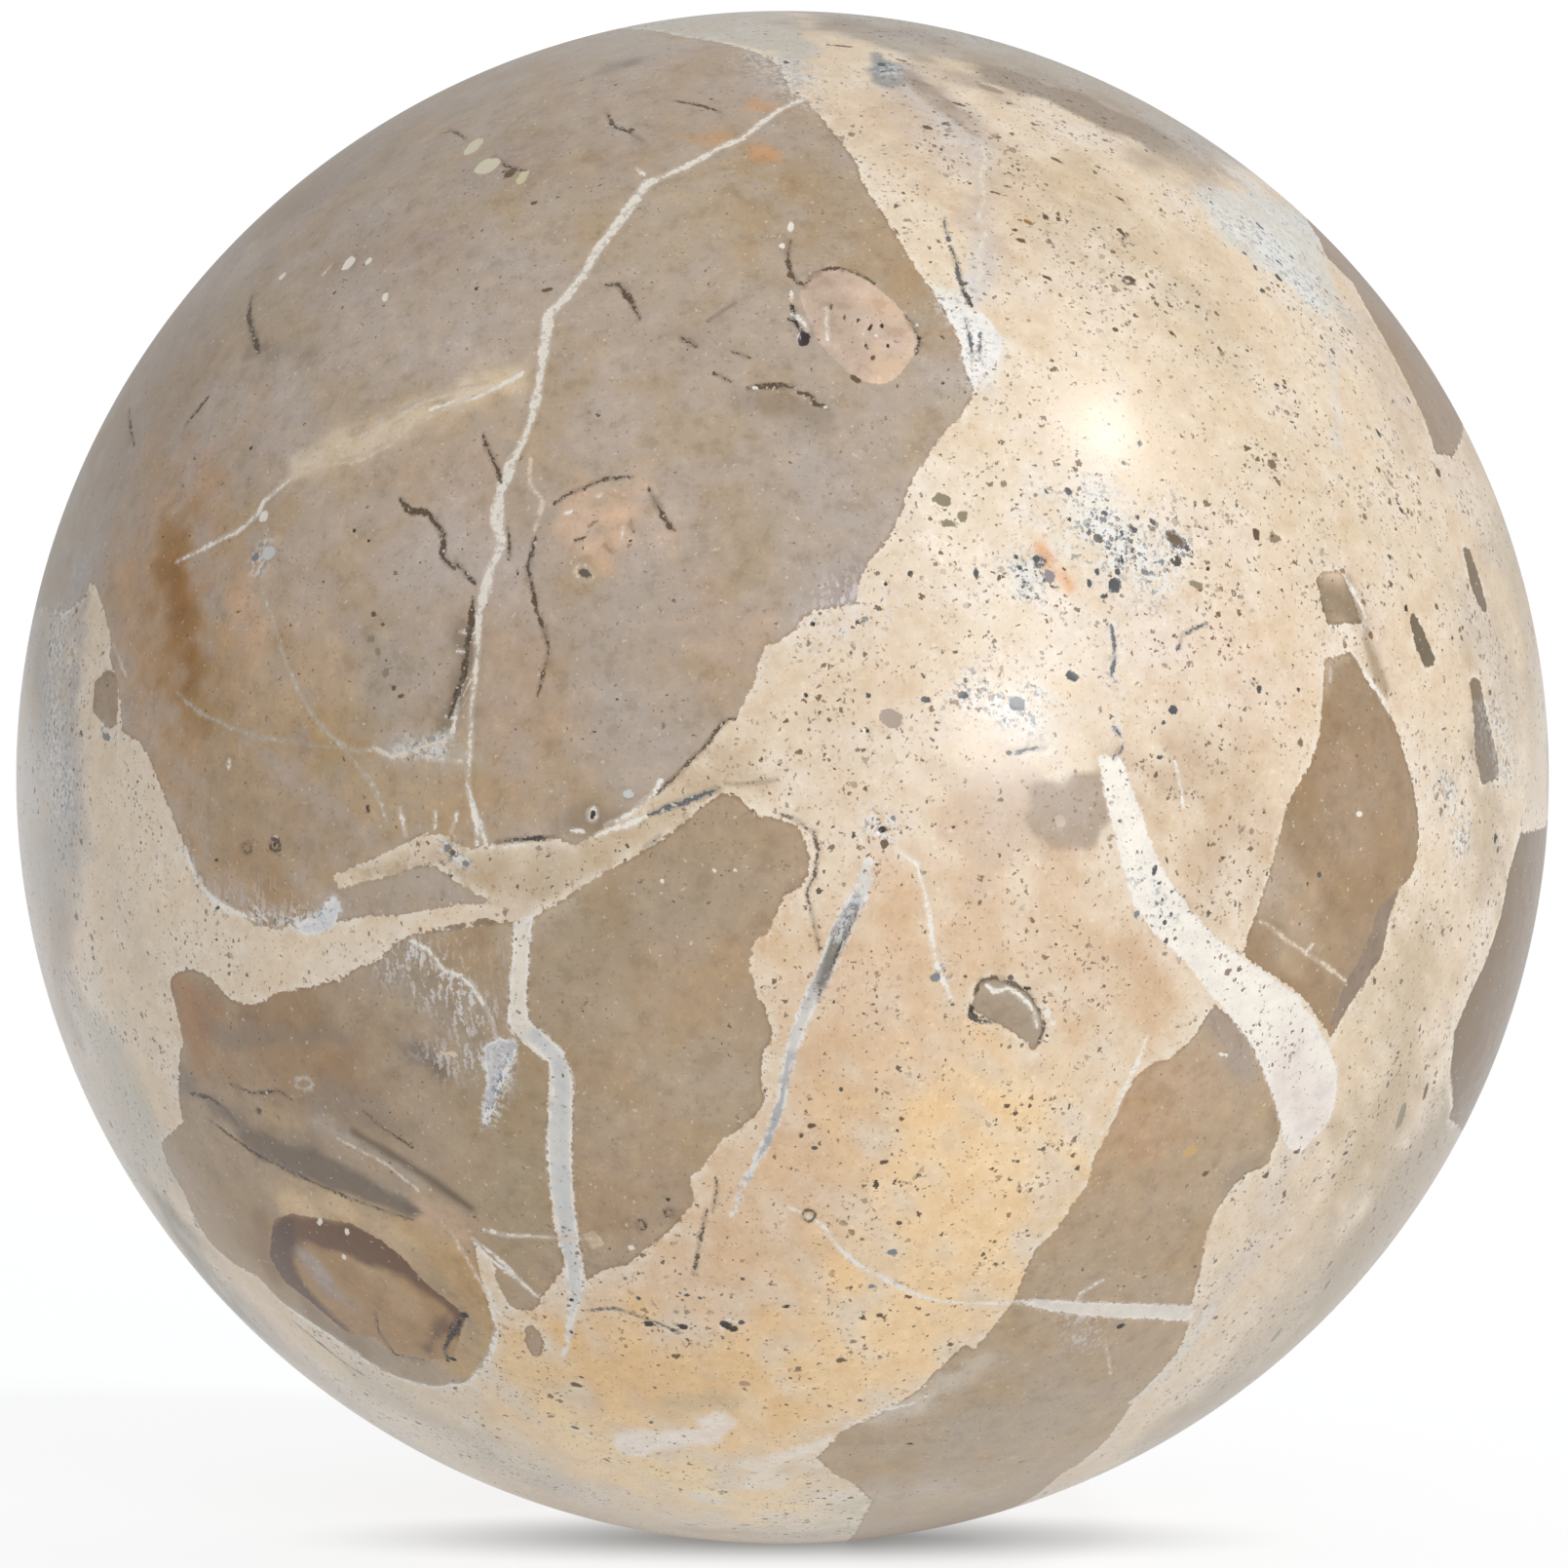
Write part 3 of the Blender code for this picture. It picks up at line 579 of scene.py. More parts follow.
# Soft washes of colour by layer: colour, strength, radius, and the path they follow.
# Where two meet, the later one lies over the earlier.
IN_CLAST = "clast"
IN_GROUND = "ground"
IN_INSET = "inset"
IN_VEIN = "vein"
WASHES = {
    IN_CLAST: [
        ((184, 164, 145), 0.6, 110, [600, 60, 700, 100]),
        ((166, 147, 133), 0.7, 56, [530, 165, 620, 175]),
        ((196, 180, 165), 0.7, 170, [430, 350, 300, 400]),
        ((190, 174, 162), 0.8, 70, [310, 230, 350, 180]),
        ((218, 206, 194), 0.9, 50, [200, 300, 252, 262]),
        ((174, 154, 139), 0.6, 46, [360, 264, 440, 258]),
        ((164, 147, 130), 0.6, 24, [700, 345, 716, 356]),
        # Painted shade: darker clast near the upper left outline
        ((160, 142, 128), 0.8, 46, [290, 215, 336, 190, 356, 170]),
        ((196, 178, 158), 0.8, 45, [500, 430, 400, 440, 320, 478]),
        ((214, 194, 168), 0.8, 26, [500, 400, 430, 440, 330, 465]),
        ((236, 218, 192), 0.9, 17, [520, 392, 470, 404, 430, 424, 396, 444, 350, 462, 310, 478]),
        ((188, 168, 142), 0.7, 70, [600, 200, 700, 260, 740, 200]),
        ((195, 179, 165), 0.6, 80, [620, 440, 680, 460]),
        ((179, 154, 122), 0.8, 60, [850, 200, 900, 250, 930, 320]),
        ((174, 153, 127), 0.5, 60, [860, 190, 830, 150]),
        ((192, 168, 146), 0.7, 60, [440, 480, 500, 490]),
        ((192, 168, 148), 0.7, 60, [500, 660, 540, 740]),
        ((190, 166, 146), 0.6, 50, [740, 650]),
        ((218, 188, 162), 0.95, 30, [592, 544, 625, 520, 636, 552, 610, 560]),
        # Painted shade: the great clast darker along its upper left, toward the outline
        ((172, 154, 138), 0.8, 150, [120, 500, 200, 300, 330, 180]),
        ((196, 162, 130), 0.85, 110, [170, 560, 190, 660, 210, 780]),
        ((182, 150, 108), 0.8, 90, [230, 700, 240, 800, 280, 880]),
        ((196, 166, 132), 0.7, 60, [310, 600, 340, 690]),
        ((164, 122, 66), 0.9, 34, [176, 560, 186, 620, 192, 690]),
        ((154, 110, 54), 0.8, 18, [178, 590, 190, 640, 198, 672]),
        ((152, 114, 66), 0.8, 18, [196, 700, 206, 740]),
        ((172, 138, 92), 0.6, 26, [200, 732, 250, 716, 330, 740]),
        ((212, 176, 142), 0.8, 26, [238, 618, 262, 652]),
        ((190, 170, 152), 0.7, 22, [300, 800, 330, 832]),
        ((166, 132, 90), 0.7, 26, [226, 790, 236, 850]),
        ((176, 142, 98), 0.6, 14, [290, 660, 300, 700]),
        ((162, 140, 104), 0.6, 14, [360, 720, 380, 740]),
        ((206, 160, 118), 0.85, 10, [712, 142, 730, 146]),
        ((206, 160, 118), 0.85, 9, [782, 156, 796, 159]),
        ((204, 158, 116), 0.8, 11, [774, 108, 786, 112]),
        ((140, 124, 108), 0.8, 10, [630, 67, 646, 66]),
        ((176, 160, 150), 0.7, 16, [872, 598, 850, 630]),
        ((206, 178, 150), 0.6, 22, [790, 640, 782, 650]),
        ((178, 148, 98), 0.7, 34, [330, 740, 400, 800]),
        ((190, 160, 116), 0.7, 50, [400, 800, 460, 830]),
        ((172, 134, 84), 0.85, 40, [240, 870, 280, 890]),
        ((186, 168, 148), 0.7, 50, [440, 640, 420, 720]),
        ((164, 150, 132), 0.7, 26, [390, 650, 384, 700]),
        ((198, 182, 168), 0.7, 70, [330, 555, 380, 590, 440, 560]),
        ((204, 178, 148), 0.6, 40, [346, 700, 262, 706]),
        ((184, 154, 112), 0.6, 36, [256, 530]),
        ((190, 166, 140), 0.7, 60, [560, 820, 440, 800]),
        ((150, 136, 120), 0.8, 14, [585, 845, 640, 838]),
        ((140, 124, 106), 0.8, 9, [476, 640, 478, 680, 466, 715, 458, 745]),
        ((158, 144, 130), 0.8, 14, [770, 408, 850, 430]),
        ((152, 138, 124), 0.7, 12, [262, 358, 320, 365]),
        ((150, 136, 124), 0.7, 14, [630, 68, 645, 66]),
        ((200, 196, 188), 0.6, 14, [400, 770, 440, 765, 476, 775]),
        ((178, 156, 130), 0.7, 60, [220, 830, 300, 870]),
        # middle clast
        ((198, 180, 154), 0.8, 34, [545, 925, 580, 925]),
        ((166, 148, 122), 0.7, 40, [600, 960, 700, 930]),
        ((192, 174, 148), 0.7, 70, [680, 1080, 700, 1140]),
        ((184, 160, 134), 0.7, 60, [640, 1230, 720, 1000]),
        # left clast
        ((158, 128, 96), 0.9, 60, [200, 1030, 290, 1050, 340, 1100]),
        ((168, 152, 134), 0.9, 44, [430, 1000, 480, 1060, 480, 1130]),
        ((172, 153, 124), 0.9, 50, [520, 1130, 530, 1240]),
        ((172, 130, 90), 0.8, 24, [196, 1020, 204, 1060, 210, 1095]),
        ((142, 126, 110), 0.8, 14, [225, 1064, 290, 1066, 350, 1062]),
        ((170, 138, 102), 0.7, 26, [240, 1100, 300, 1086, 330, 1096]),
        ((150, 132, 112), 0.9, 20, [340, 1130, 400, 1150, 440, 1180]),
        ((178, 164, 148), 0.8, 13, [330, 1155, 380, 1180, 420, 1205]),
        ((166, 140, 106), 0.9, 36, [200, 1190, 240, 1230, 262, 1280]),
        ((222, 192, 152), 0.95, 25, [300, 1232, 350, 1240, 420, 1270]),
        ((150, 118, 84), 0.8, 14, [272, 1248, 268, 1276, 282, 1312]),
        ((192, 158, 108), 0.95, 24, [430, 1262, 480, 1300, 505, 1360, 480, 1405]),
        ((204, 174, 142), 0.8, 22, [440, 1246, 470, 1262]),
        ((186, 164, 136), 0.6, 36, [440, 1160, 462, 1176]),
        ((140, 116, 82), 0.7, 26, [326, 1350, 366, 1384]),
        ((206, 172, 144), 0.9, 9, [436, 1240, 452, 1250, 472, 1264]),
        ((134, 119, 102), 0.8, 15, [188, 1112, 215, 1132, 250, 1156]),
        ((146, 131, 112), 0.8, 22, [280, 1168, 350, 1204, 400, 1226]),
        ((120, 103, 83), 1.0, 6, [364, 1162, 412, 1190, 448, 1214, 484, 1240]),
        ((188, 162, 128), 0.9, 9, [270, 1142, 286, 1150, 302, 1152]),
        ((128, 112, 98), 0.8, 14, [436, 1084, 446, 1090]),
        # right clast
        ((206, 184, 160), 0.7, 20, [1340, 718, 1372, 655]),
        ((176, 150, 124), 0.7, 50, [1390, 780, 1400, 860]),
        ((188, 167, 144), 0.8, 40, [1320, 900, 1340, 960]),
        ((226, 200, 172), 0.8, 12, [1375, 590, 1362, 582]),
        # lower clast
        ((198, 164, 132), 0.8, 50, [1200, 1120, 1170, 1170]),
        ((168, 152, 140), 0.75, 20, [1236, 1040, 1262, 1060, 1284, 1095]),
        ((150, 132, 112), 0.6, 12, [1310, 1150, 1298, 1185, 1262, 1214]),
        ((184, 160, 132), 0.7, 70, [1180, 1260, 1140, 1330]),
        ((202, 186, 166), 0.7, 40, [930, 1528, 985, 1538]),
        ((182, 165, 144), 0.8, 70, [1080, 1430, 1000, 1480]),
        ((214, 200, 180), 0.7, 16, [865, 1458, 940, 1440, 1000, 1400]),
    ],
    IN_INSET: [
        # pisolith, fossil and lobe
        ((197, 175, 157), 0.8, 26, [845, 300, 850, 330, 870, 360]),
        ((230, 199, 168), 0.70, 16, [900, 300, 934, 335, 930, 365, 900, 392]),
        ((188, 158, 120), 0.9, 22, [370, 1296, 410, 1330]),
        ((180, 163, 152), 1.0, 14, [316, 1292, 332, 1314, 356, 1338]),
        ((116, 84, 54), 0.9, 7, [462, 1342, 452, 1362, 440, 1384]),
    ],
    IN_VEIN: [
        # calcite
        ((236, 223, 216), 0.75, 40, [1326, 1105, 1345, 1150]),
        ((236, 226, 210), 0.9, 12, [536, 945, 533, 1000, 533, 1045]),
        ((208, 209, 208), 0.9, 6, [552, 1062, 572, 1085, 578, 1130, 576, 1200, 582, 1270, 588, 1320]),
        ((236, 228, 216), 0.9, 14, [892, 882, 886, 905]),
        ((128, 124, 112), 0.95, 6, [880, 925, 866, 950, 852, 982, 842, 1010]),
        ((226, 220, 212), 0.8, 10, [836, 1030, 815, 1070]),
        ((176, 178, 180), 0.8, 4, [806, 1110, 800, 1140, 780, 1185]),
    ],
    IN_GROUND: [
        # ground
        ((164, 145, 124), 0.5, 56, [1000, 66, 1061, 80, 1122, 104, 1178, 134, 1204, 150]),
        ((160, 140, 122), 0.6, 40, [860, 24, 920, 34]),
        ((214, 208, 204), 0.8, 16, [1006, 150, 1006, 240, 1001, 306]),
        ((208, 200, 196), 0.6, 30, [940, 120, 985, 160]),
        ((192, 174, 154), 0.7, 26, [960, 76, 1000, 84]),
        ((188, 171, 150), 0.8, 26, [1176, 166, 1250, 172]),
        ((230, 210, 184), 0.6, 40, [1070, 172, 1086, 180]),
        # Partly the paler ground, partly painted glow between the two highlights
        ((250, 236, 216), 0.7, 56, [985, 540, 1040, 610, 1075, 640]),
        ((240, 228, 216), 0.6, 60, [1150, 640, 1200, 720, 1250, 710]),
        # Painted shade: the next two washes darken the ground toward the right outline
        ((210, 192, 174), 0.6, 50, [1410, 350, 1440, 430, 1520, 450]),
        ((190, 168, 138), 0.7, 60, [1520, 780, 1530, 880]),
        ((220, 188, 150), 0.7, 36, [800, 985, 806, 955]),
        ((216, 194, 170), 0.6, 60, [900, 120, 1000, 180, 1080, 240]),
        ((212, 192, 163), 0.75, 60, [1100, 190, 1180, 260, 1240, 340]),
        ((240, 232, 222), 0.7, 30, [1280, 184, 1310, 196]),
        # Partly painted highlight: a greyish white wash where the lower highlight falls, over a patch of
        # white crystals
        ((216, 216, 212), 0.7, 26, [1030, 740, 1080, 750]),
        (CHALK, 0.8, 12, [962, 300, 1000, 318, 1030, 350, 1015, 385]),
        ((238, 230, 220), 0.85, 16, [806, 648, 786, 666, 775, 700]),
        ((236, 234, 226), 0.7, 34, [1110, 520, 1160, 560, 1190, 580]),
        ((228, 228, 222), 0.7, 14, [1045, 575, 1050, 600]),
        ((236, 176, 122), 0.85, 8, [1066, 562, 1074, 574]),
        ((236, 180, 128), 0.8, 7, [1090, 588, 1098, 602]),
        ((236, 228, 218), 0.8, 14, [1308, 688, 1308, 706]),
        ((226, 204, 178), 0.6, 70, [840, 740, 900, 700]),
        ((226, 208, 182), 0.7, 90, [1230, 440, 1380, 520]),
        ((232, 208, 182), 0.6, 80, [1240, 640, 1300, 700]),
        ((226, 204, 180), 0.7, 20, [1388, 590, 1412, 645, 1430, 715]),
        ((226, 194, 160), 0.85, 110, [960, 960, 900, 1050, 830, 1200, 640, 1420]),
        ((254, 219, 168), 0.85, 100, [1000, 1180, 980, 1300, 900, 1380, 760, 1450]),
        ((224, 196, 164), 0.7, 70, [1060, 950, 1150, 1010]),
        ((206, 180, 150), 0.8, 50, [1190, 800, 1250, 800, 1256, 860, 1240, 900]),
        ((170, 146, 118), 0.85, 8, [1384, 596, 1396, 630, 1404, 665, 1420, 705]),
        ((240, 203, 148), 0.8, 70, [560, 1410, 620, 1400, 780, 1420]),
        ((254, 224, 172), 0.85, 60, [590, 1480, 680, 1520, 780, 1545]),
        ((212, 204, 176), 0.7, 30, [880, 1545, 930, 1575]),
        ((214, 196, 172), 0.7, 50, [1350, 1260, 1300, 1380]),
        ((222, 208, 194), 0.75, 20, [1334, 1180, 1301, 1225, 1292, 1271, 1258, 1320, 1237, 1345]),
        ((236, 222, 204), 0.6, 12, [1150, 905, 1190, 975, 1235, 1025]),
        ((214, 180, 144), 0.7, 34, [1150, 975, 1176, 1004]),
        ((198, 176, 147), 0.85, 30, [380, 905, 430, 885, 540, 905, 600, 880]),
        ((204, 182, 152), 0.8, 26, [620, 870, 700, 825, 740, 790]),
        ((208, 188, 170), 0.7, 40, [1020, 800, 1030, 840]),
        ((226, 214, 200), 0.7, 40, [60, 1000, 90, 1080]),
        ((182, 172, 162), 0.7, 22, [78, 640, 74, 690]),
        ((180, 172, 162), 0.6, 24, [70, 720, 68, 780, 66, 815]),
        ((164, 166, 168), 0.5, 40, [40, 680, 44, 730]),
        ((166, 164, 162), 0.5, 28, [75, 860, 30, 880, 55, 910]),
        ((206, 200, 192), 0.6, 60, [20, 780, 30, 840]),
        ((168, 148, 128), 0.6, 30, [60, 950, 56, 990, 70, 1040]),
        ((224, 208, 188), 0.7, 34, [120, 900, 140, 980]),
        ((204, 198, 184), 0.9, 44, [118, 1080, 140, 1130, 152, 1170]),
        ((140, 128, 106), 0.9, 44, [176, 1250, 210, 1310, 250, 1350]),
        ((212, 199, 178), 0.8, 40, [380, 1420, 470, 1470, 560, 1520]),
        ((226, 220, 214), 0.6, 8, [1366, 365, 1370, 400, 1372, 458]),
        # Painted shade: the next two washes darken the ground at the right outline
        ((206, 190, 170), 0.6, 60, [1520, 640, 1560, 720]),
        ((162, 142, 110), 0.95, 40, [1590, 770, 1585, 900]),
        # Painted shade: greyer ground along the ball's bottom edge
        ((200, 186, 162), 0.6, 30, [720, 1570, 860, 1572]),
        ((250, 222, 182), 0.8, 40, [596, 1496, 620, 1508]),
        ((240, 232, 216), 0.8, 13, [722, 1536, 740, 1540]),
        ((244, 236, 218), 0.8, 12, [845, 1535, 866, 1536]),
        ((200, 188, 164), 0.55, 17, [700, 1444, 730, 1437, 756, 1440]),
        # Painted shade: the next two washes darken the ground near the lower right outline
        ((206, 186, 156), 0.85, 60, [1450, 980, 1440, 1080, 1400, 1170]),
        ((192, 172, 144), 0.7, 50, [1430, 1160, 1420, 1200]),
    ],
}


# Patches with soft edges: layer, colour, strength, softness in millimetres, and the outline
# Painted shade and sheen: the caps and limbs that follow lay greyer, duller tones along the ball's outline
TOP_CAP_SHADE_SHEEN = [
    838, 30, 870, 40, 940, 58, 1000, 66, 1060, 84, 1120, 108, 1160, 128, 1200, 156, 1250, 176,
    1340, 150, 1240, 20, 1040, -90, 860, -120, 800, -40, 812, 12,
]
TOP_LEFT_CAP_SHADE_SHEEN = [
    520, 60, 570, 64, 620, 72, 650, 66, 690, 52, 740, 44, 776, 52, 800, 68, 814, 92, 836, 70,
    822, 20, 780, -60, 560, -120, 440, -20, 470, 40,
]
LEFT_LIMB_SHADE_SHEEN = [
    88, 604, 82, 640, 76, 690, 80, 740, 84, 800, 80, 860, 78, 930, 74, 990, 92, 1050, 60, 1080,
    -20, 1040, -60, 900, -70, 760, -60, 600, 0, 520, 40, 540, 70, 556,
]
LOW_LEFT_LIMB_SHADE_SHEEN = [
    84, 1040, 120, 1090, 150, 1160, 180, 1240, 230, 1310, 290, 1370, 370, 1440, 440, 1490,
    520, 1560, 400, 1640, 100, 1400, -40, 1200, 0, 1040,
]
BLUE_OVAL = [
    1237, 195, 1258, 190, 1292, 201, 1320, 210, 1341, 226, 1356, 252, 1366, 286, 1370, 312,
    1359, 322, 1344, 308, 1329, 298, 1300, 280, 1274, 262, 1258, 246, 1244, 231, 1236, 212,
]
LOBE_HALO = [
    956, 862, 962, 840, 985, 822, 1010, 810, 1040, 804, 1066, 792, 1072, 860, 1130, 880, 1060, 884,
    1000, 880,
]
# Painted shade and sheen along the right outline
RIGHT_LIMB_SHADE_SHEEN = [
    1520, 560, 1560, 640, 1568, 740, 1560, 850, 1600, 860, 1680, 800, 1690, 640, 1620, 500, 1530, 500,
]
LOW_RIGHT_LIMB_SHADE_SHEEN = [
    1480, 1120, 1440, 1180, 1400, 1240, 1350, 1300, 1290, 1370, 1240, 1420, 1180, 1470, 1110, 1540,
    1200, 1620, 1400, 1500, 1560, 1300, 1600, 1180,
]
TOP_BAND = [
    1000, 64, 1060, 80, 1122, 102, 1178, 130, 1206, 146, 1205, 158, 1183, 157, 1150, 138, 1110, 120,
    1060, 101, 1008, 84,
]
TOP_STREAK_HALO = [
    905, 60, 930, 66, 968, 92, 1000, 116, 1012, 142, 996, 154, 970, 140, 940, 118, 915, 98, 898, 78,
]
TOP_STREAK = [
    922, 70, 936, 74, 964, 96, 990, 116, 1005, 134, 1000, 142, 980, 128, 956, 108, 934, 88,
]
PATCHES = [
    # The cap and limb patches here are painted shade and sheen along the ball's outline
    (IN_GROUND, (190, 181, 170), 0.95, 1.4, TOP_CAP_SHADE_SHEEN),
    (IN_GROUND, (206, 200, 190), 0.95, 0.8, TOP_LEFT_CAP_SHADE_SHEEN),
    (IN_CLAST, (192, 180, 166), 0.75, 2.0, TOP_LEFT_CAP_SHADE_SHEEN),
    (IN_GROUND, (198, 187, 174), 0.92, 1.4, LEFT_LIMB_SHADE_SHEEN),
    (IN_GROUND, (192, 182, 166), 0.80, 3.0, LOW_LEFT_LIMB_SHADE_SHEEN),
    (IN_GROUND, (226, 226, 221), 0.90, 0.8, BLUE_OVAL),
    (IN_GROUND, (154, 138, 120), 0.90, 0.5, TOP_BAND),
    (IN_GROUND, (204, 194, 184), 0.80, 0.8, TOP_STREAK_HALO),
    (IN_GROUND, (160, 142, 126), 0.90, 0.25, TOP_STREAK),
    (IN_GROUND, (140, 146, 148), 0.90, 0.35, BLUE_SPOT),
    (IN_GROUND, (216, 193, 170), 0.85, 0.4, LOBE_HALO),
    (IN_GROUND, (213, 197, 174), 0.85, 2.0, RIGHT_LIMB_SHADE_SHEEN),
    (IN_GROUND, (164, 146, 120), 0.80, 3.4, LOW_RIGHT_LIMB_SHADE_SHEEN),
]

# Patches that lie over the washes
DARK_BAND = [
    238, 1160, 256, 1160, 280, 1167, 316, 1180, 352, 1195, 388, 1213, 418, 1231, 437, 1246,
    418, 1245, 388, 1236, 352, 1224, 310, 1208, 274, 1192, 250, 1180,
]
FOSSIL_TOP_BAND = [
    274, 1246, 310, 1252, 343, 1251, 370, 1257, 400, 1270, 427, 1292, 454, 1312, 475, 1336, 484, 1354,
    478, 1376, 462, 1368, 458, 1350, 436, 1331, 418, 1311, 394, 1300, 364, 1292, 340, 1281, 316, 1277,
    292, 1274,
]
FOSSIL_LEFT_BAND = [
    272, 1250, 268, 1276, 278, 1306, 296, 1331, 322, 1352, 346, 1370, 356, 1364, 333, 1340, 314, 1318,
    302, 1294, 299, 1273, 300, 1254,
]
LUMP_1 = [
    628, 1471, 640, 1467, 656, 1466, 673, 1469, 693, 1465, 713, 1466, 737, 1468, 730, 1478, 713, 1483,
    693, 1486, 677, 1490, 660, 1494, 642, 1492, 631, 1485,
]
LUMP_2 = [711, 1456, 725, 1450, 741, 1449, 758, 1457, 756, 1464, 741, 1468, 720, 1466]
LUMP_3 = [
    747, 1501, 761, 1495, 781, 1495, 801, 1491, 821, 1484, 841, 1478, 860, 1468, 857, 1478, 841, 1488,
    821, 1494, 806, 1500, 803, 1509, 806, 1519, 801, 1527, 785, 1528, 769, 1528, 759, 1525, 769, 1516,
    776, 1509, 760, 1508,
]
# Painted shade and sheen over the clast at the upper left of the ball's outline
LEFT_LIMB_RISE_SHADE_SHEEN = [
    112, 520, 96, 580, 86, 614, 66, 634, 20, 626, -60, 520, -80, 380, -20, 360, 60, 440,
]
LATE_PATCHES = [
    (IN_CLAST, (124, 108, 90), 0.95, 0.35, DARK_BAND),
    (IN_INSET, (104, 70, 20), 0.90, 0.45, FOSSIL_TOP_BAND),
    (IN_INSET, (92, 60, 18), 0.92, 0.45, FOSSIL_LEFT_BAND),
    (IN_GROUND, (178, 159, 141), 0.95, 0.30, LOBE),
    # painted shade and sheen along the upper left outline
    (IN_CLAST, (182, 172, 162), 0.80, 2.2, LEFT_LIMB_RISE_SHADE_SHEEN),
    (IN_GROUND, (250, 240, 230), 0.92, 0.35, LUMP_1),
    (IN_GROUND, (252, 242, 234), 0.95, 0.35, LUMP_2),
    (IN_GROUND, (248, 236, 220), 0.90, 0.40, LUMP_3),
]

# How thickly specks lie in the ground, and marks that gather: strength, radius and path
SPECKS = 0.86
CROWDS = [
    (1.7, 40, [1120, 540, 1160, 555, 1190, 565]), (1.5, 24, [1045, 575, 1052, 600]),
    (1.4, 30, [1005, 715, 1060, 735]), (1.15, 60, [820, 720, 890, 745]),
    (1.08, 120, [980, 150, 1130, 280, 1240, 420]), (1.0, 70, [820, 700, 1000, 640, 1100, 760]),
    (1.0, 80, [1200, 480, 1270, 700]), (1.15, 26, [1190, 900, 1260, 990, 1320, 1060, 1345, 1130]),
    (1.5, 10, [905, 70]), (1.3, 16, [600, 560, 630, 540]), (1.15, 60, [1290, 470, 1450, 520]),
    (1.0, 70, [1270, 450, 1370, 520]), (1.2, 40, [1290, 250, 1320, 285]),
    (1.15, 50, [830, 1160, 880, 1290]), (1.3, 16, [745, 1385, 785, 1390]),
    (1.2, 50, [1440, 1060, 1420, 1160]), (1.2, 18, [905, 850]), (1.3, 14, [690, 1364, 665, 1358]),
    (1.0, 24, [880, 1050, 860, 1100]),
]
FROSTS = [
    (0.45, 26, [780, 62, 806, 72, 824, 98]),
    (1.0, 9, [262, 938, 300, 946, 330, 940, 345, 925]), (0.9, 6, [190, 872, 205, 905, 225, 930]),
    (0.9, 40, [1120, 545, 1160, 560, 1185, 575]), (0.9, 18, [1045, 575, 1052, 600]),
    (0.7, 26, [1000, 712, 1060, 735]), (1.0, 14, [908, 70]), (0.5, 50, [1280, 230, 1340, 290]),
    (0.9, 8, [508, 1070, 524, 1090, 510, 1120, 500, 1150]), (0.35, 14, [970, 310, 1010, 350, 1000, 390]),
    (0.7, 10, [270, 556, 264, 580]), (0.6, 12, [1170, 900, 1200, 940]), (0.9, 8, [458, 872, 476, 886]),
    (0.8, 14, [895, 842, 910, 850]), (0.7, 9, [882, 918, 862, 960]), (0.7, 12, [405, 772, 450, 765]),
    (0.8, 20, [1490, 815, 1500, 870]), (0.7, 30, [1535, 740, 1545, 790]), (0.8, 8, [105, 750, 120, 758]),
    (0.6, 8, [1143, 640, 1143, 690, 1148, 752]), (0.7, 40, [60, 660, 60, 800]),
    (0.5, 8, [966, 985, 975, 1000]),
]
SCRATCHES = [
    (0.85, 30, [420, 980, 460, 1000, 480, 1040]), (0.7, 20, [455, 1080, 500, 1090]),
    (0.35, 20, [225, 915, 300, 935]), (0.7, 26, [840, 640, 900, 620]),
    (0.5, 24, [1105, 1355, 1130, 1370]),
]


# The hidden half: the same kinds of clasts, veins, grains and clouds, drawn with a fixed seed.
# Clasts: turn, reach from the middle of the picture in outline radii, size and colour.
FAR_CLASTS = [
    (2.2, 1.30, 0.46, TAUPE), (0.9, 1.52, 0.38, DUN), (3.1, 1.62, 0.44, FAWN),
    (4.2, 1.36, 0.40, TAN), (5.3, 1.40, 0.36, DUN), (0.1, 1.33, 0.28, FAWN),
    (5.6, 1.82, 0.36, TAUPE), (1.6, 1.78, 0.26, TAN),
]
FAR_CHIPS = 26
FAR_LINES = 16
FAR_GRAINS = 90
FAR_CLOUDS = 44
FAR_CLOUD_COLOURS = [
    (IN_GROUND, [(226, 194, 160), (246, 222, 186), (210, 200, 188), (240, 232, 218), (206, 182, 150)]),
    (IN_CLAST, [(196, 168, 134), (170, 150, 128), (198, 184, 172), (166, 130, 86), (182, 158, 126)]),
]


def broken_outline(middle, size, corners, random):
    """The outline of a broken piece about a point of the ball: ruffled sides between corners."""
    side = np.cross(middle, UP + 0.2 * RIGHT)
    side /= np.linalg.norm(side)
    rise = np.cross(side, middle)
    angles = 2 * math.pi * (np.arange(corners) + random.uniform(-0.34, 0.34, corners)) / corners
    reach = size * random.uniform(0.58, 1.12, corners)
    lean = random.uniform(0.0, math.pi)
    squeeze = random.uniform(0.6, 0.95)
    u = reach * np.cos(angles)
    v = reach * np.sin(angles) * squeeze
    across = u * math.cos(lean) - v * math.sin(lean)
    along = u * math.sin(lean) + v * math.cos(lean)
    spots = np.stack([across, along], axis=1)
    outline = []
    for corner in range(corners):
        here = spots[corner]
        after = spots[(corner + 1) % corners]
        for share in (0.0, 0.2, 0.4, 0.6, 0.8):
            spot = here + (after - here) * share + random.normal(0.0, 0.028 * size, 2)
            point = middle + spot[0] * side + spot[1] * rise
            outline.append(point / np.linalg.norm(point))
    return np.array(outline)


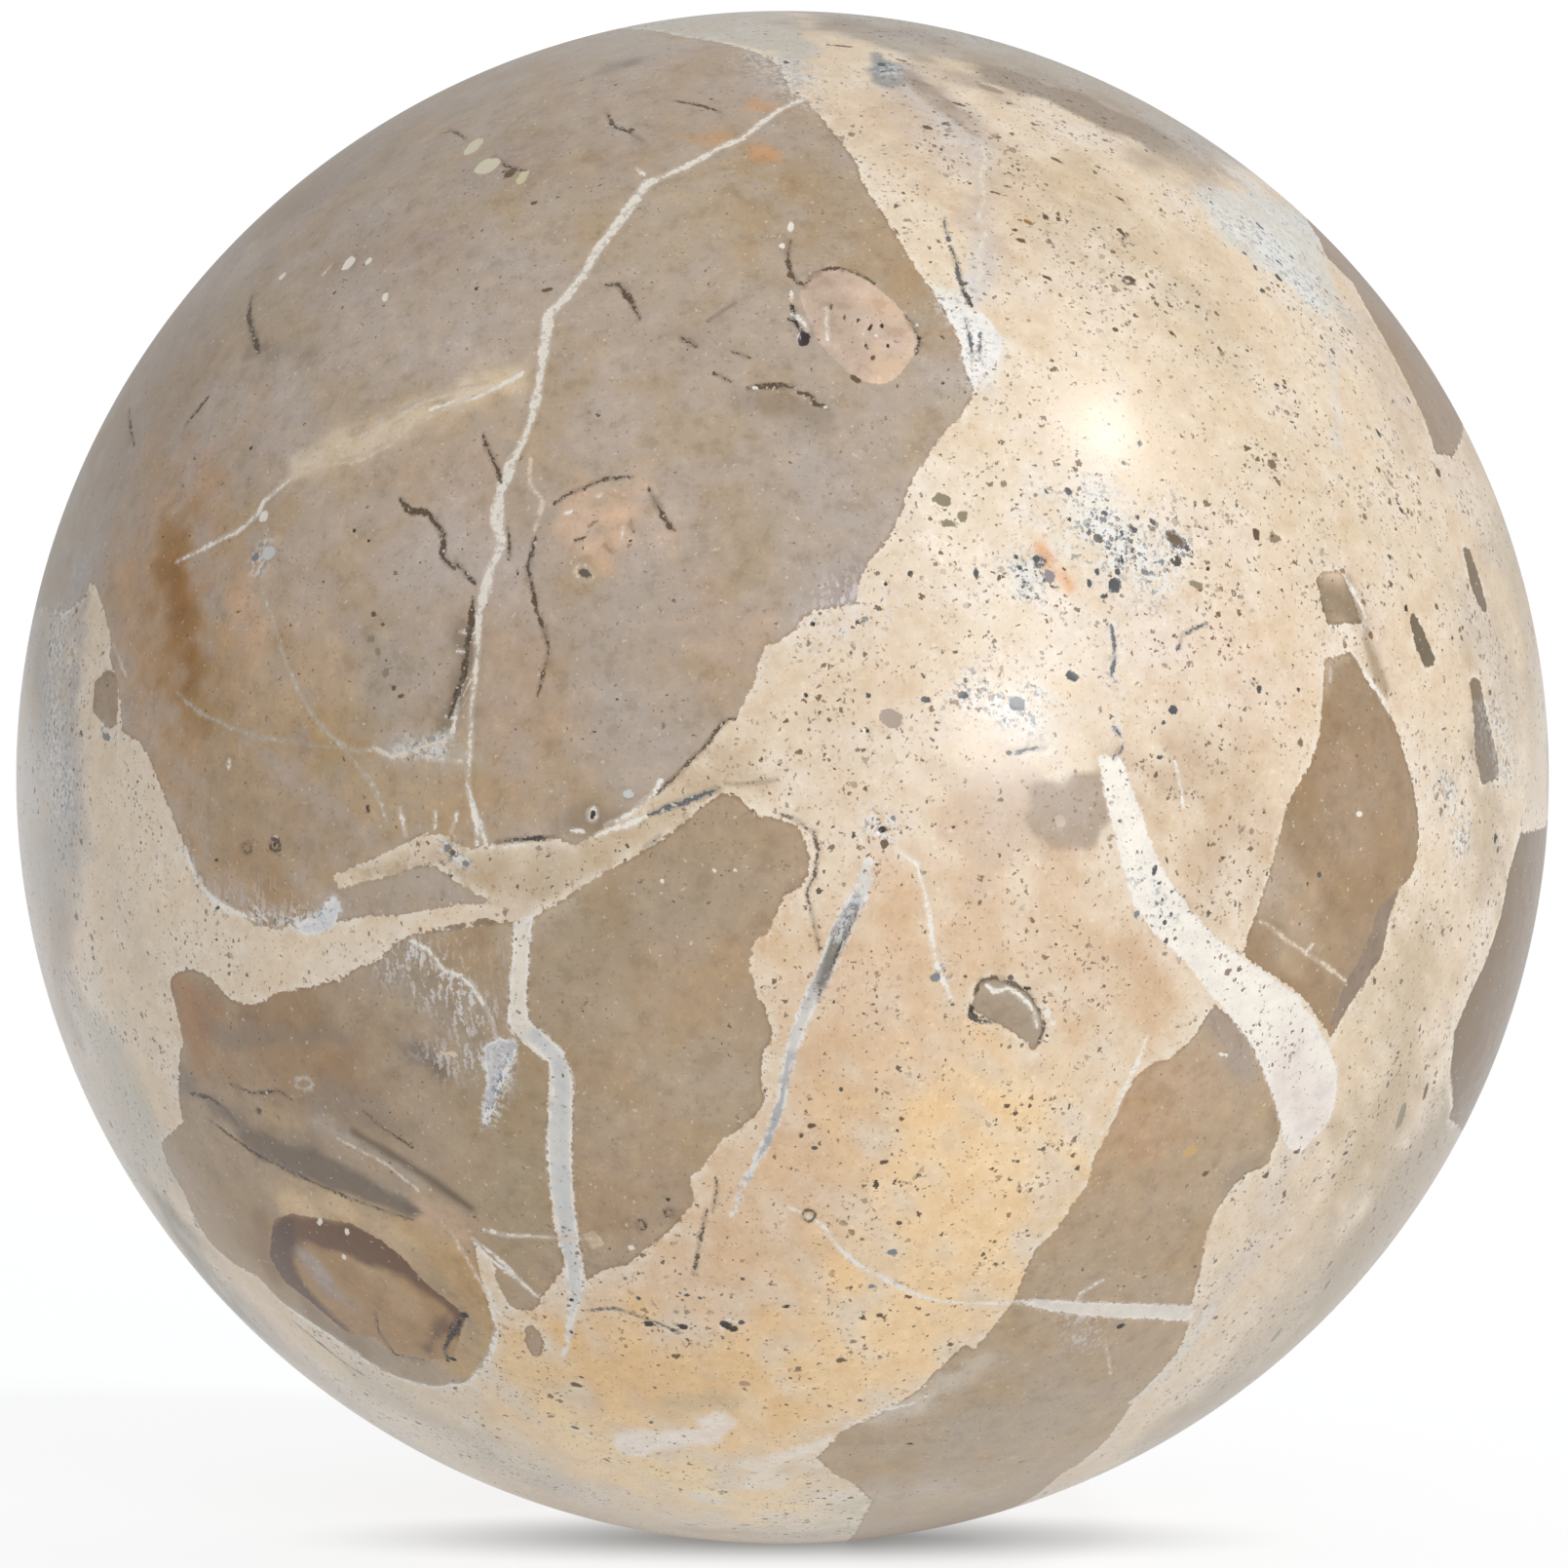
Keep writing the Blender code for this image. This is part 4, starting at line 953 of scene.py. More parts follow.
def wandering_line(start, steps, stride, random):
    """A path that wanders over the ball."""
    side = np.cross(start, UP + 0.2 * RIGHT)
    side /= np.linalg.norm(side)
    rise = np.cross(side, start)
    heading = random.uniform(0, 2 * math.pi)
    drift = random.uniform(-0.12, 0.12)
    path = [start]
    for _ in range(steps):
        heading += drift + random.uniform(-0.5, 0.5)
        point = path[-1] + stride * (side * math.cos(heading) + rise * math.sin(heading))
        path.append(point / np.linalg.norm(point))
    return np.array(path)


def far_spot(random, nearest=1.12, farthest=1.98):
    """A picture point on the hidden half."""
    turn = random.uniform(0, 2 * math.pi)
    reach = random.uniform(nearest, farthest)
    return BALL_X + BALL_PX * reach * math.cos(turn), BALL_Y - BALL_PX * reach * math.sin(turn)


def far_side(random):
    """Clasts and strokes for the side that the photograph doesn't show."""
    clasts = []
    starts = []
    for turn, reach, size, colour in FAR_CLASTS:
        x = BALL_X + BALL_PX * reach * math.cos(turn)
        y = BALL_Y - BALL_PX * reach * math.sin(turn)
        outline = broken_outline(on_ball(x, y), size, 8, random)
        clasts.append((outline, colour))
        starts += [outline[0], outline[len(outline) // 2]]
    for _ in range(FAR_CHIPS):
        size = 0.02 + 0.07 * random.uniform() ** 2
        colour = [DUN, TAN, (150, 132, 108), FAWN][int(random.uniform(0, 3.99))]
        clasts.append((broken_outline(on_ball(*far_spot(random)), size, 6, random), colour))
    starts += [on_ball(*far_spot(random)) for _ in range(FAR_LINES)]
    strokes = []
    for start in starts:
        tone = [WHITE, BROWN, PALE, WHITE, BROWN, GREY][int(random.uniform(0, 5.99))]
        width = random.uniform(1.0, 4.2) if tone == WHITE else random.uniform(0.8, 1.7)
        path = wandering_line(start, 18, random.uniform(0.012, 0.036), random)
        widths = width * random.uniform(0.5, 1.3, len(path))
        strokes.append((tone, widths, path))
    return clasts, strokes


def far_marks(random):
    """Grains and soft clouds of colour for the hidden half."""
    grains = []
    for _ in range(FAR_GRAINS):
        x, y = far_spot(random)
        size = random.uniform(2.5, 8.0)
        colour = [UMBER, BROWN_INK, CHALK, OLIVE, GREY_INK][int(random.uniform(0, 4.99))]
        grains.append((colour, x, y, size, size * random.uniform(0.4, 0.9), random.uniform(0, 180)))
    clouds = []
    for k in range(FAR_CLOUDS):
        x, y = far_spot(random, 1.08)
        layer, colours = FAR_CLOUD_COLOURS[k % 2]
        colour = colours[int(random.uniform(0, len(colours) - 0.01))]
        strength = random.uniform(0.5, 0.9)
        radius = random.uniform(22, 110)
        clouds.append((layer, colour, strength, radius, [x, y, x + random.uniform(-90, 90), y + 60]))
    return grains, clouds


def picture_path(numbers):
    """Directions on the ball for x, y, x, y ... in picture pixels."""
    pairs = np.array(numbers, float).reshape(-1, 2)
    return on_ball(pairs[:, 0], pairs[:, 1])


def tip_to_tip(widths):
    """Lets a stroke's ends run out to a point."""
    ends = np.ones(len(widths))
    ends[0] = 0.35
    ends[-1] = 0.35
    return widths * ends


def ring_path(x, y, across, down, turn):
    """A closed oval about a picture point."""
    angle = np.linspace(0.0, 2 * math.pi, 13)
    turn = math.radians(turn)
    u = across * np.cos(angle)
    v = down * np.sin(angle)
    return on_ball(x + u * math.cos(turn) - v * math.sin(turn), y + u * math.sin(turn) + v * math.cos(turn))


def ribbon(numbers):
    """The outline of a vein given by its middle line and half widths."""
    triples = np.array(numbers, float).reshape(-1, 3)
    way = np.gradient(triples[:, :2], axis=0)
    way /= np.linalg.norm(way, axis=1)[:, None]
    side = np.stack([-way[:, 1], way[:, 0]], axis=1) * triples[:, 2:]
    both = np.vstack([triples[:, :2] + side, (triples[:, :2] - side)[::-1]])
    return both.ravel()


SEED = 27
random = np.random.default_rng(SEED)
far_clasts, far_strokes = far_side(random)
far_grains, far_clouds = far_marks(random)
GRAINS += far_grains
for layer, *cloud in far_clouds:
    WASHES[layer].append(cloud)

clast_outlines = [(picture_path(numbers), stone(colour)) for numbers, colour in CLASTS]
clast_outlines += [(outline, stone(colour)) for outline, colour in far_clasts]
inset_outlines = [(picture_path(numbers), stone(colour)) for numbers, colour in INSETS]
vein_outlines = [(picture_path(numbers), stone(colour)) for numbers, colour in VEINS]
vein_outlines.append((picture_path(ribbon(SPINE_VEIN)), stone(VEIN_GREY)))

# The strokes are a little finer than their paths' widths say
FINE = 0.74
strokes = []
for tone, numbers in WIDTH_STROKES:
    triples = np.array(numbers, float).reshape(-1, 3)
    strokes.append((tone, triples[:, 2], on_ball(triples[:, 0], triples[:, 1])))
for tone, width, numbers in STROKES:
    path = picture_path(numbers)
    strokes.append((tone, tip_to_tip(np.full(len(path), FINE * width)), path))
for tone, x, y, across, down, turn in RINGS:
    path = ring_path(x, y, across, down, turn)
    strokes.append((tone, np.full(len(path), 1.0), path))
strokes += [(tone, tip_to_tip(widths), path) for tone, widths, path in far_strokes]


# Distances on the ball, in millimetres
FAR_MM = 9.0


def cap_of(path, margin_mm):
    """The middle of a path, and the cosine of the cap that holds it and its margin."""
    middle = path.mean(axis=0)
    middle /= np.linalg.norm(middle)
    spread = math.acos(max(-1.0, min(1.0, float((path @ middle).min()))))
    return middle, math.cos(min(math.pi, spread + margin_mm / RADIUS_MM))


def near_rows(points, path, margin_mm):
    """The rows of the points that lie within a margin of the path's cap."""
    middle, cosine = cap_of(path, margin_mm)
    return np.nonzero(points @ middle > cosine)[0]


def to_path(points, path):
    """Distance to the path, the side, the place along it, and how far beyond its ends."""
    start = path[:-1]
    step = path[1:] - start
    size = (step**2).sum(axis=1)
    best = np.full(len(points), 1e9)
    piece = np.zeros(len(points), int)
    share = np.zeros(len(points))
    for k in range(len(start)):
        away = points - start[k]
        t = np.clip(away @ step[k] / size[k], 0.0, 1.0)
        gap = ((away - t[:, None] * step[k]) ** 2).sum(axis=1)
        closer = gap < best
        best = np.where(closer, gap, best)
        piece = np.where(closer, k, piece)
        share = np.where(closer, t, share)
    normal = np.cross(start[piece], step[piece])
    gap = points - start[piece] - share[:, None] * step[piece]
    side = np.where((normal * gap).sum(axis=1) < 0.0, -1.0, 1.0)
    first = step[0] / math.sqrt(size[0])
    last = step[-1] / math.sqrt(size[-1])
    beyond = np.maximum(-(points - path[0]) @ first * (piece + share <= 0.0), 0.0)
    beyond = np.maximum(beyond, (points - path[-1]) @ last * (piece + share >= len(start)))
    return np.sqrt(best) * RADIUS_MM, side, piece + share, beyond * RADIUS_MM


def inside(points, path, middle):
    """Which points lie in an outline, seen in the flat map that keeps angles."""
    side = np.cross(middle, UP + 0.1 * RIGHT)
    side /= np.linalg.norm(side)
    rise = np.cross(side, middle)

    def flat(p):
        scale = 1.0 + np.maximum(p @ middle, -0.98)
        return p @ side / scale, p @ rise / scale

    px, py = flat(points)
    qx, qy = flat(path)
    odd = np.zeros(len(points), bool)
    for k in range(len(path)):
        ax, ay, bx, by = qx[k - 1], qy[k - 1], qx[k], qy[k]
        if ay == by:
            continue
        crosses = (ay > py) != (by > py)
        odd ^= crosses & (px < (bx - ax) * (py - ay) / (by - ay) + ax)
    return odd


def regions(points, outlines, margin_mm=3.0):
    """Signed distance to the nearest outline, negative inside, and that outline's colour."""
    depth = np.full(len(points), FAR_MM)
    colour = np.tile(outlines[0][1], (len(points), 1))
    for path, paint in outlines:
        near = near_rows(points, path, margin_mm)
        if len(near) == 0:
            continue
        signed = np.minimum(signed_distance(points[near], path), FAR_MM)
        better = signed < depth[near]
        rows = near[better]
        depth[rows] = signed[better]
        colour[rows] = paint
    return depth, colour


# A stroke is kept as signed distance, half width and tone. Away from the stroke the width
# falls below nothing, so no other crossing of distance zero can show.
NEAR_MM = 0.36
FALL = 4.0
SETS = 3
CLEAR_MM = 1.8

# A grain's outline: 2 is an oval, more is squarer
GRAIN_ROUND = 2.4


def sort_strokes():
    """Strokes that come close to each other go to different sets."""
    sets = [[] for _ in range(SETS)]
    for stroke in strokes:
        room = []
        for members in sets:
            gap = 99.0
            for _, _, path in members:
                if np.max(path @ stroke[2].mean(axis=0)) > 0.55:
                    between = np.linalg.norm(path[:, None] - stroke[2][None], axis=2).min()
                    gap = min(gap, between * RADIUS_MM)
            room.append(gap)
        clear = [k for k in range(SETS) if room[k] > CLEAR_MM]
        chosen = clear[0] if clear else int(np.argmax(room))
        sets[chosen].append(stroke)
    return sets


def stroke_values(points, members, margin_mm=2.5):
    """Signed distance, half width and tone of the nearest stroke, and how near its edge is."""
    signed = np.full(len(points), FAR_MM)
    width = np.full(len(points), -FALL * FAR_MM)
    tone = np.full(len(points), 0.5)
    score = np.full(len(points), 99.0)
    for shade, widths, path in members:
        near = near_rows(points, path, margin_mm)
        if len(near) == 0:
            continue
        gap, side, along, beyond = to_path(points[near], path)
        half = np.interp(along, np.arange(len(path)), widths) * MM_PER_PX - beyond
        here = gap - half
        better = here < score[near]
        rows = near[better]
        score[rows] = here[better]
        signed[rows] = (gap * side)[better]
        fall = FALL * np.maximum(0.0, here - NEAR_MM)
        width[rows] = (half - fall)[better]
        tone[rows] = shade
    return signed, width, tone, score


def grain_values(points, margin_mm=1.2):
    """Signed distance to the nearest grain, and that grain's colour."""
    depth = np.full(len(points), FAR_MM)
    colour = np.tile(stone(GREY_INK), (len(points), 1))
    for paint, x, y, across, down, turn in GRAINS:
        middle = on_ball(x, y)
        reach = max(across, down) * MM_PER_PX + margin_mm
        near = np.nonzero(points @ middle > math.cos(reach / RADIUS_MM))[0]
        if len(near) == 0:
            continue
        right = RIGHT - middle * (RIGHT @ middle)
        right /= np.linalg.norm(right)
        down_way = np.cross(right, middle)
        if down_way @ UP > 0:
            down_way = -down_way
        angle = math.radians(turn)
        away = points[near] * RADIUS_MM
        u = away @ (right * math.cos(angle) + down_way * math.sin(angle)) / (across * MM_PER_PX)
        v = away @ (down_way * math.cos(angle) - right * math.sin(angle)) / (down * MM_PER_PX)
        q = (np.abs(u) ** GRAIN_ROUND + np.abs(v) ** GRAIN_ROUND) ** (1.0 / GRAIN_ROUND)
        signed = (q - 1.0) * min(across, down) * MM_PER_PX
        better = signed < depth[near]
        rows = near[better]
        depth[rows] = signed[better]
        colour[rows] = stone(paint)
    return depth, colour


def signed_distance(points, path):
    """Millimetres to an outline, less than nothing inside it."""
    middle = path.mean(axis=0)
    middle /= np.linalg.norm(middle)
    gap, _, _, _ = to_path(points, np.vstack([path, path[:1]]))
    return np.where(inside(points, path, middle), -gap, gap)


# Waves of a few millimetres that make the washes uneven
WAVE_SEED = 11
WAVES = 10
SHORTEST_WAVE_MM = 1.8
LONGEST_WAVE_MM = 6.5
waves = np.random.default_rng(WAVE_SEED)
WAVE_WAYS = waves.normal(size=(WAVES, 3))
WAVE_WAYS /= np.linalg.norm(WAVE_WAYS, axis=1)[:, None]
WAVE_WAYS *= 2 * math.pi / np.linspace(SHORTEST_WAVE_MM, LONGEST_WAVE_MM, WAVES)[:, None]
WAVE_STARTS = waves.uniform(0.0, 2 * math.pi, WAVES)


def uneven(points):
    """A fixed unevenness over the ball, mostly between -1 and 1."""
    return np.sin(points @ WAVE_WAYS.T * RADIUS_MM + WAVE_STARTS).sum(axis=1) / 2.6


# How far a soft mark's edge wanders, as a share of its radius, and how many radii it reaches
WASH_RUFFLE = 0.42
MARK_RUFFLE = 0.35
REACH = 2.4

# The painted shade and sheen patches laid at the ball's outline fade out behind it
FADE_START = 0.085
FADE_END = -0.16


def soft_mark(points, radius, numbers, ruffle):
    """The points near a soft mark, and how strongly it lies on each of them."""
    path = picture_path(numbers)
    if len(path) == 1:
        path = np.vstack([path, path + 1e-4])
    spread = radius * MM_PER_PX
    near = near_rows(points, path, spread * REACH)
    if len(near) == 0:
        return near, np.zeros(0)
    gap, _, _, _ = to_path(points[near], path)
    gap = np.maximum(gap + ruffle * spread * uneven(points[near]), 0.0)
    return near, np.exp(-((gap / spread) ** 2))


def lay_patches(points, layer, colour, patches):
    """Lays one layer's patches over its colours, with edges as soft as each asks."""
    for where, paint, strength, soft, numbers in patches:
        if where != layer:
            continue
        path = picture_path(numbers)
        near = near_rows(points, path, soft)
        if len(near) == 0:
            continue
        depth = signed_distance(points[near], path) + (0.1 + 0.5 * min(soft, 1.2)) * uneven(points[near])
        rise = np.clip(0.5 - depth / (2.0 * soft), 0.0, 1.0)
        fade = np.clip((points[near] @ BACK - FADE_END) / (FADE_START - FADE_END), 0.0, 1.0)
        share = (strength * fade * rise * rise * (3.0 - 2.0 * rise))[:, None]
        colour[near] = colour[near] * (1.0 - share) + stone(paint) * share


def wash(points, layer, colour):
    """Lays the patches and soft washes of one layer over its colours."""
    lay_patches(points, layer, colour, PATCHES)
    for paint, strength, radius, numbers in WASHES[layer]:
        near, fall = soft_mark(points, radius, numbers, WASH_RUFFLE)
        share = (strength * fall)[:, None]
        colour[near] = colour[near] * (1.0 - share) + stone(paint) * share
    lay_patches(points, layer, colour, LATE_PATCHES)
    return colour


def gather(points, marks, least=0.0):
    """The strongest of some soft marks at every point."""
    share = np.full(len(points), least)
    for strength, radius, numbers in marks:
        near, fall = soft_mark(points, radius, numbers, MARK_RUFFLE)
        share[near] = np.maximum(share[near], strength * fall)
    return share


stroke_sets = sort_strokes()

# Washes up to this radius and patches up to this softness get finer faces
NARROW_PX = 14
CRISP_MM = 0.6


def narrow_wash_want(points):
    """Edge lengths that let a narrow wash show."""
    want = np.full(len(points), 9.0)
    for _, _, radius, numbers in sum(WASHES.values(), []):
        path = picture_path(numbers)
        if radius > NARROW_PX or len(path) == 1:
            continue
        spread = radius * MM_PER_PX
        near = near_rows(points, path, spread * REACH)
        if len(near) == 0:
            continue
        gap, _, _, _ = to_path(points[near], path)
        want[near] = np.minimum(want[near], 0.62 * spread + 0.8 * np.maximum(gap - spread, 0.0))
    for _, _, _, soft, numbers in PATCHES + LATE_PATCHES:
        if soft > CRISP_MM:
            continue
        path = picture_path(numbers)
        near = near_rows(points, path, 3.0 * CRISP_MM)
        if len(near) == 0:
            continue
        gap = np.abs(signed_distance(points[near], path))
        want[near] = np.minimum(want[near], 0.46 + 0.9 * np.maximum(gap - 0.4, 0.0))
    return want


# Longest edges on plain stone, in millimetres: facing the camera, at the outline, and behind
FRONT_EDGE_MM = 1.06
LIMB_EDGE_MM = 1.2
FAR_EDGE_SCALE = 2.0


def measure(points):
    """Everything the skin carries at these points, and how long its edges may be there."""
    values = {}
    values["clast"], values["clast_colour"] = regions(points, clast_outlines)
    values["inset"], values["inset_colour"] = regions(points, inset_outlines)
    values["vein"], values["vein_colour"] = regions(points, vein_outlines)
    values["grain"], values["grain_colour"] = grain_values(points)
    values["vein_colour"] = wash(points, IN_VEIN, values["vein_colour"])
    values["clast_colour"] = wash(points, IN_CLAST, values["clast_colour"])
    ground = np.tile(stone(CREAM), (len(points), 1))
    values["ground_colour"] = wash(points, IN_GROUND, ground)
    values["inset_colour"] = wash(points, IN_INSET, values["inset_colour"])
    values["crowd"] = gather(points, CROWDS, SPECKS)
    values["frost"] = gather(points, FROSTS)
    values["scratch"] = gather(points, SCRATCHES)
    facing = points @ BACK
    want = np.where(facing > 0.05, FRONT_EDGE_MM, LIMB_EDGE_MM)
    for name in ("clast", "inset", "vein"):
        want = np.minimum(want, 0.46 + 1.0 * np.maximum(np.abs(values[name]) - 0.35, 0.0))
    want = np.minimum(want, 0.22 + 1.0 * np.maximum(values["grain"] - 0.18, 0.0))
    want = np.minimum(want, narrow_wash_want(points))
    for k, members in enumerate(stroke_sets):
        signed, width, tone, score = stroke_values(points, members)
        values[f"stroke_{k}"] = np.stack([signed, width, tone], axis=1)
        want = np.minimum(want, 0.34 + 1.0 * np.maximum(score - 0.28, 0.0))
    values["want"] = np.where(facing > 0.0, want, want * FAR_EDGE_SCALE)
    return values


# The skin: an icosahedron split until every edge is as short as its place asks
QUARTERINGS = 5
MOST_SPLITS = 12
EDGE_SLACK = 1.35


def icosahedron():
    """Its corners as unit directions, and its faces turned outward."""
    golden = (1 + math.sqrt(5)) / 2
    corners = []
    for a in (-1.0, 1.0):
        for b in (-golden, golden):
            corners += [(0.0, a, b), (a, b, 0.0), (b, 0.0, a)]
    corners = np.array(corners)
    faces = []
    for i in range(12):
        for j in range(i + 1, 12):
            for k in range(j + 1, 12):
                trio = corners[[i, j, k]]
                gaps = [np.linalg.norm(trio[a] - trio[a - 1]) for a in range(3)]
                if max(gaps) < 2.1:
                    outward = np.dot(np.cross(trio[1] - trio[0], trio[2] - trio[0]), trio[0])
                    faces.append((i, j, k) if outward > 0 else (i, k, j))
    return corners / np.linalg.norm(corners, axis=1)[:, None], np.array(faces)


def edge_keys(faces, count):
    """The two ends of every edge once, and each face's three edges by number."""
    pairs = np.stack([faces, np.roll(faces, -1, axis=1)], axis=2).reshape(-1, 2)
    low = pairs.min(axis=1)
    high = pairs.max(axis=1)
    keys, place = np.unique(low * count + high, return_inverse=True)
    return keys // count, keys % count, place.reshape(-1, 3)


def split_once(points, faces, marked, low, high, place):
    """Splits the marked edges, after the longest edge of every face they touch is marked too."""
    length = np.linalg.norm(points[low] - points[high], axis=1)
    longest = np.argmax(length[place], axis=1)
    rows = np.arange(len(faces))
    main = place[rows, longest]
    while True:
        touched = marked[place].any(axis=1) & ~marked[main]
        if not touched.any():
            break
        marked[main[touched]] = True
    index = np.full(len(low), -1)
    chosen = np.nonzero(marked)[0]
    index[chosen] = len(points) + np.arange(len(chosen))
    fresh = points[low[chosen]] + points[high[chosen]]
    fresh /= np.linalg.norm(fresh, axis=1)[:, None]
    turned = (longest[:, None] + np.arange(3)[None]) % 3
    a, b, c = np.take_along_axis(faces, turned, axis=1).T
    ab, bc, ca = np.take_along_axis(index[place], turned, axis=1).T
    whole = ab < 0
    out = [np.stack([a, b, c], axis=1)[whole]]
    for first, corner, other in ((b, c, bc), (c, a, ca)):
        half = ~whole & (other < 0)
        both = ~whole & (other >= 0)
        if corner is c:
            out.append(np.stack([ab, b, c], axis=1)[half])
            out.append(np.stack([ab, b, bc], axis=1)[both])
            out.append(np.stack([ab, bc, c], axis=1)[both])
        else:
            out.append(np.stack([a, ab, c], axis=1)[half])
            out.append(np.stack([a, ab, ca], axis=1)[both])
            out.append(np.stack([ca, ab, c], axis=1)[both])
    return fresh, np.vstack(out)


def grow_skin():
    """Points, faces and measured values of the finished skin."""
    points, faces = icosahedron()
    for _ in range(QUARTERINGS):
        low, high, place = edge_keys(faces, len(points))
        fresh = points[low] + points[high]
        fresh /= np.linalg.norm(fresh, axis=1)[:, None]
        ab, bc, ca = (len(points) + place).T
        a, b, c = faces.T
        quarters = ((a, ab, ca), (ab, b, bc), (ca, bc, c), (ab, bc, ca))
        faces = np.vstack([np.stack(quarter, axis=1) for quarter in quarters])
        points = np.vstack([points, fresh])
    values = measure(points)
    for _ in range(MOST_SPLITS):
        low, high, place = edge_keys(faces, len(points))
        length = np.linalg.norm(points[low] - points[high], axis=1) * RADIUS_MM
        want = np.minimum(values["want"][low], values["want"][high])
        marked = length > EDGE_SLACK * want
        if not marked.any():
            break
        fresh, faces = split_once(points, faces, marked, low, high, place)
        points = np.vstack([points, fresh])
        more = measure(fresh)
        values = {name: np.concatenate([values[name], more[name]]) for name in values}
    return points, faces, values


# Depths in millimetres
VEIN_DIP = 0.03
CRACK_DIP = 0.06
PALE_LINE_DIP = 0.025
PIT_DIP = 0.16
GRAIN_DIP = 0.02
DARK_GRAIN = 0.06


def relief(values):
    """How far the polish dips, in mm: soft hollows over veins and cracks, deeper at pits."""
    dip = np.zeros(len(values["clast"]))
    dip += VEIN_DIP * np.clip(0.5 - values["vein"] / 0.3, 0.0, 1.0)
    for k in range(SETS):
        signed, width, tone = values[f"stroke_{k}"].T
        groove = np.clip(1.0 - np.abs(signed) / 0.4, 0.0, 1.0) * (width > 0.0)
        dip += np.where(tone < 0.4, CRACK_DIP, PALE_LINE_DIP) * groove
    dark = values["grain_colour"].mean(axis=1) < DARK_GRAIN
    pit = np.clip(0.3 - values["grain"] / 0.25, 0.0, 1.0)
    dip += np.where(dark, PIT_DIP, GRAIN_DIP) * pit
    return dip


points, faces, values = grow_skin()
print("skin:", len(faces), "triangles")

places = points * (RADIUS_MM - relief(values))[:, None] / MM
places[:, 2] += CENTRE_HEIGHT
places[:, 2] = np.maximum(places[:, 2], 0.0)

skin = bpy.data.meshes.new("stone_skin")
skin.from_pydata(places.tolist(), [], faces.tolist())
skin.update()
skin.shade_smooth()


def store(name, numbers):
    """Keeps one of the skin's values where its material can read it."""
    if numbers.ndim == 1:
        layer = skin.attributes.new(name, "FLOAT", "POINT")
        layer.data.foreach_set("value", numbers.astype(np.float32))
    elif name.endswith("colour"):
        layer = skin.attributes.new(name, "FLOAT_COLOR", "POINT")
        paint = np.concatenate([numbers, np.ones((len(numbers), 1))], axis=1)
        layer.data.foreach_set("color", paint.astype(np.float32).ravel())
    else:
        layer = skin.attributes.new(name, "FLOAT_VECTOR", "POINT")
        layer.data.foreach_set("vector", numbers.astype(np.float32).ravel())


for name, numbers in values.items():
    if name != "want":
        store(name, numbers)

ball = bpy.data.objects.new("polished_stone_ball", skin)
bpy.context.scene.collection.objects.link(ball)


# Material
class Graph:
    """Short names for the nodes of one material."""

    def __init__(self, name):
        self.material = bpy.data.materials.new(name)
        self.material.use_nodes = True
        self.tree = self.material.node_tree
        self.shader = self.tree.nodes["Principled BSDF"]

    def node(self, kind, **settings):
        made = self.tree.nodes.new(kind)
        for key, value in settings.items():
            setattr(made, key, value)
        return made

    def put(self, socket, value):
        if isinstance(value, bpy.types.NodeSocket):
            self.tree.links.new(value, socket)
        else:
            socket.default_value = value

    def maths(self, operation, *inputs, clamp=False):
        made = self.node("ShaderNodeMath", operation=operation, use_clamp=clamp)
        for socket, value in zip(made.inputs, inputs):
            self.put(socket, value)
        return made.outputs[0]

    def attribute(self, name, output="Fac"):
        return self.node("ShaderNodeAttribute", attribute_name=name).outputs[output]

    def ramp(self, value, low, high, start=0.0, end=1.0):
        """Runs smoothly from start to end as the value goes from low to high."""
        made = self.node("ShaderNodeMapRange", interpolation_type="SMOOTHSTEP")
        for key, number in zip(("From Min", "From Max", "To Min", "To Max"), (low, high, start, end)):
            made.inputs[key].default_value = number
        self.put(made.inputs["Value"], value)
        return made.outputs["Result"]

    def mix(self, share, first, second, kind="MIX"):
        made = self.node("ShaderNodeMix", data_type="RGBA", blend_type=kind)
        self.put(made.inputs["Factor"], share)
        for key, value in (("A", first), ("B", second)):
            socket = [s for s in made.inputs if s.name == key and s.type == "RGBA"][0]
            self.put(socket, value)
        return [s for s in made.outputs if s.type == "RGBA"][0]

    def tint(self, value, low, high, colour, factors):
        """Multiplies a colour by the factors as the value goes from low to high."""
        return self.mix(self.ramp(value, low, high), colour, (*factors, 1.0), "MULTIPLY")

    def noise(self, where, scale, detail=2.0, rough=0.5, output="Fac"):
        made = self.node("ShaderNodeTexNoise", noise_dimensions="3D")
        self.put(made.inputs["Vector"], where)
        made.inputs["Scale"].default_value = scale
        made.inputs["Detail"].default_value = detail
        made.inputs["Roughness"].default_value = rough
        return made.outputs[output]

    def cells(self, where, scale, feature="F1"):
        made = self.node("ShaderNodeTexVoronoi", voronoi_dimensions="3D", feature=feature)
        self.put(made.inputs["Vector"], where)
        made.inputs["Scale"].default_value = scale
        return made

    def split(self, vector):
        made = self.node("ShaderNodeSeparateXYZ")
        self.put(made.inputs[0], vector)
        return made.outputs

    def colours(self, value, stops):
        made = self.node("ShaderNodeValToRGB")
        made.color_ramp.interpolation = "LINEAR"
        while len(made.color_ramp.elements) < len(stops):
            made.color_ramp.elements.new(0.5)
        for element, (position, colour) in zip(made.color_ramp.elements, stops):
            element.position = position
            element.color = rgba(colour)
        self.put(made.inputs["Fac"], value)
        return made.outputs["Color"]


def rgba(colour):
    return (*stone(colour), 1.0)


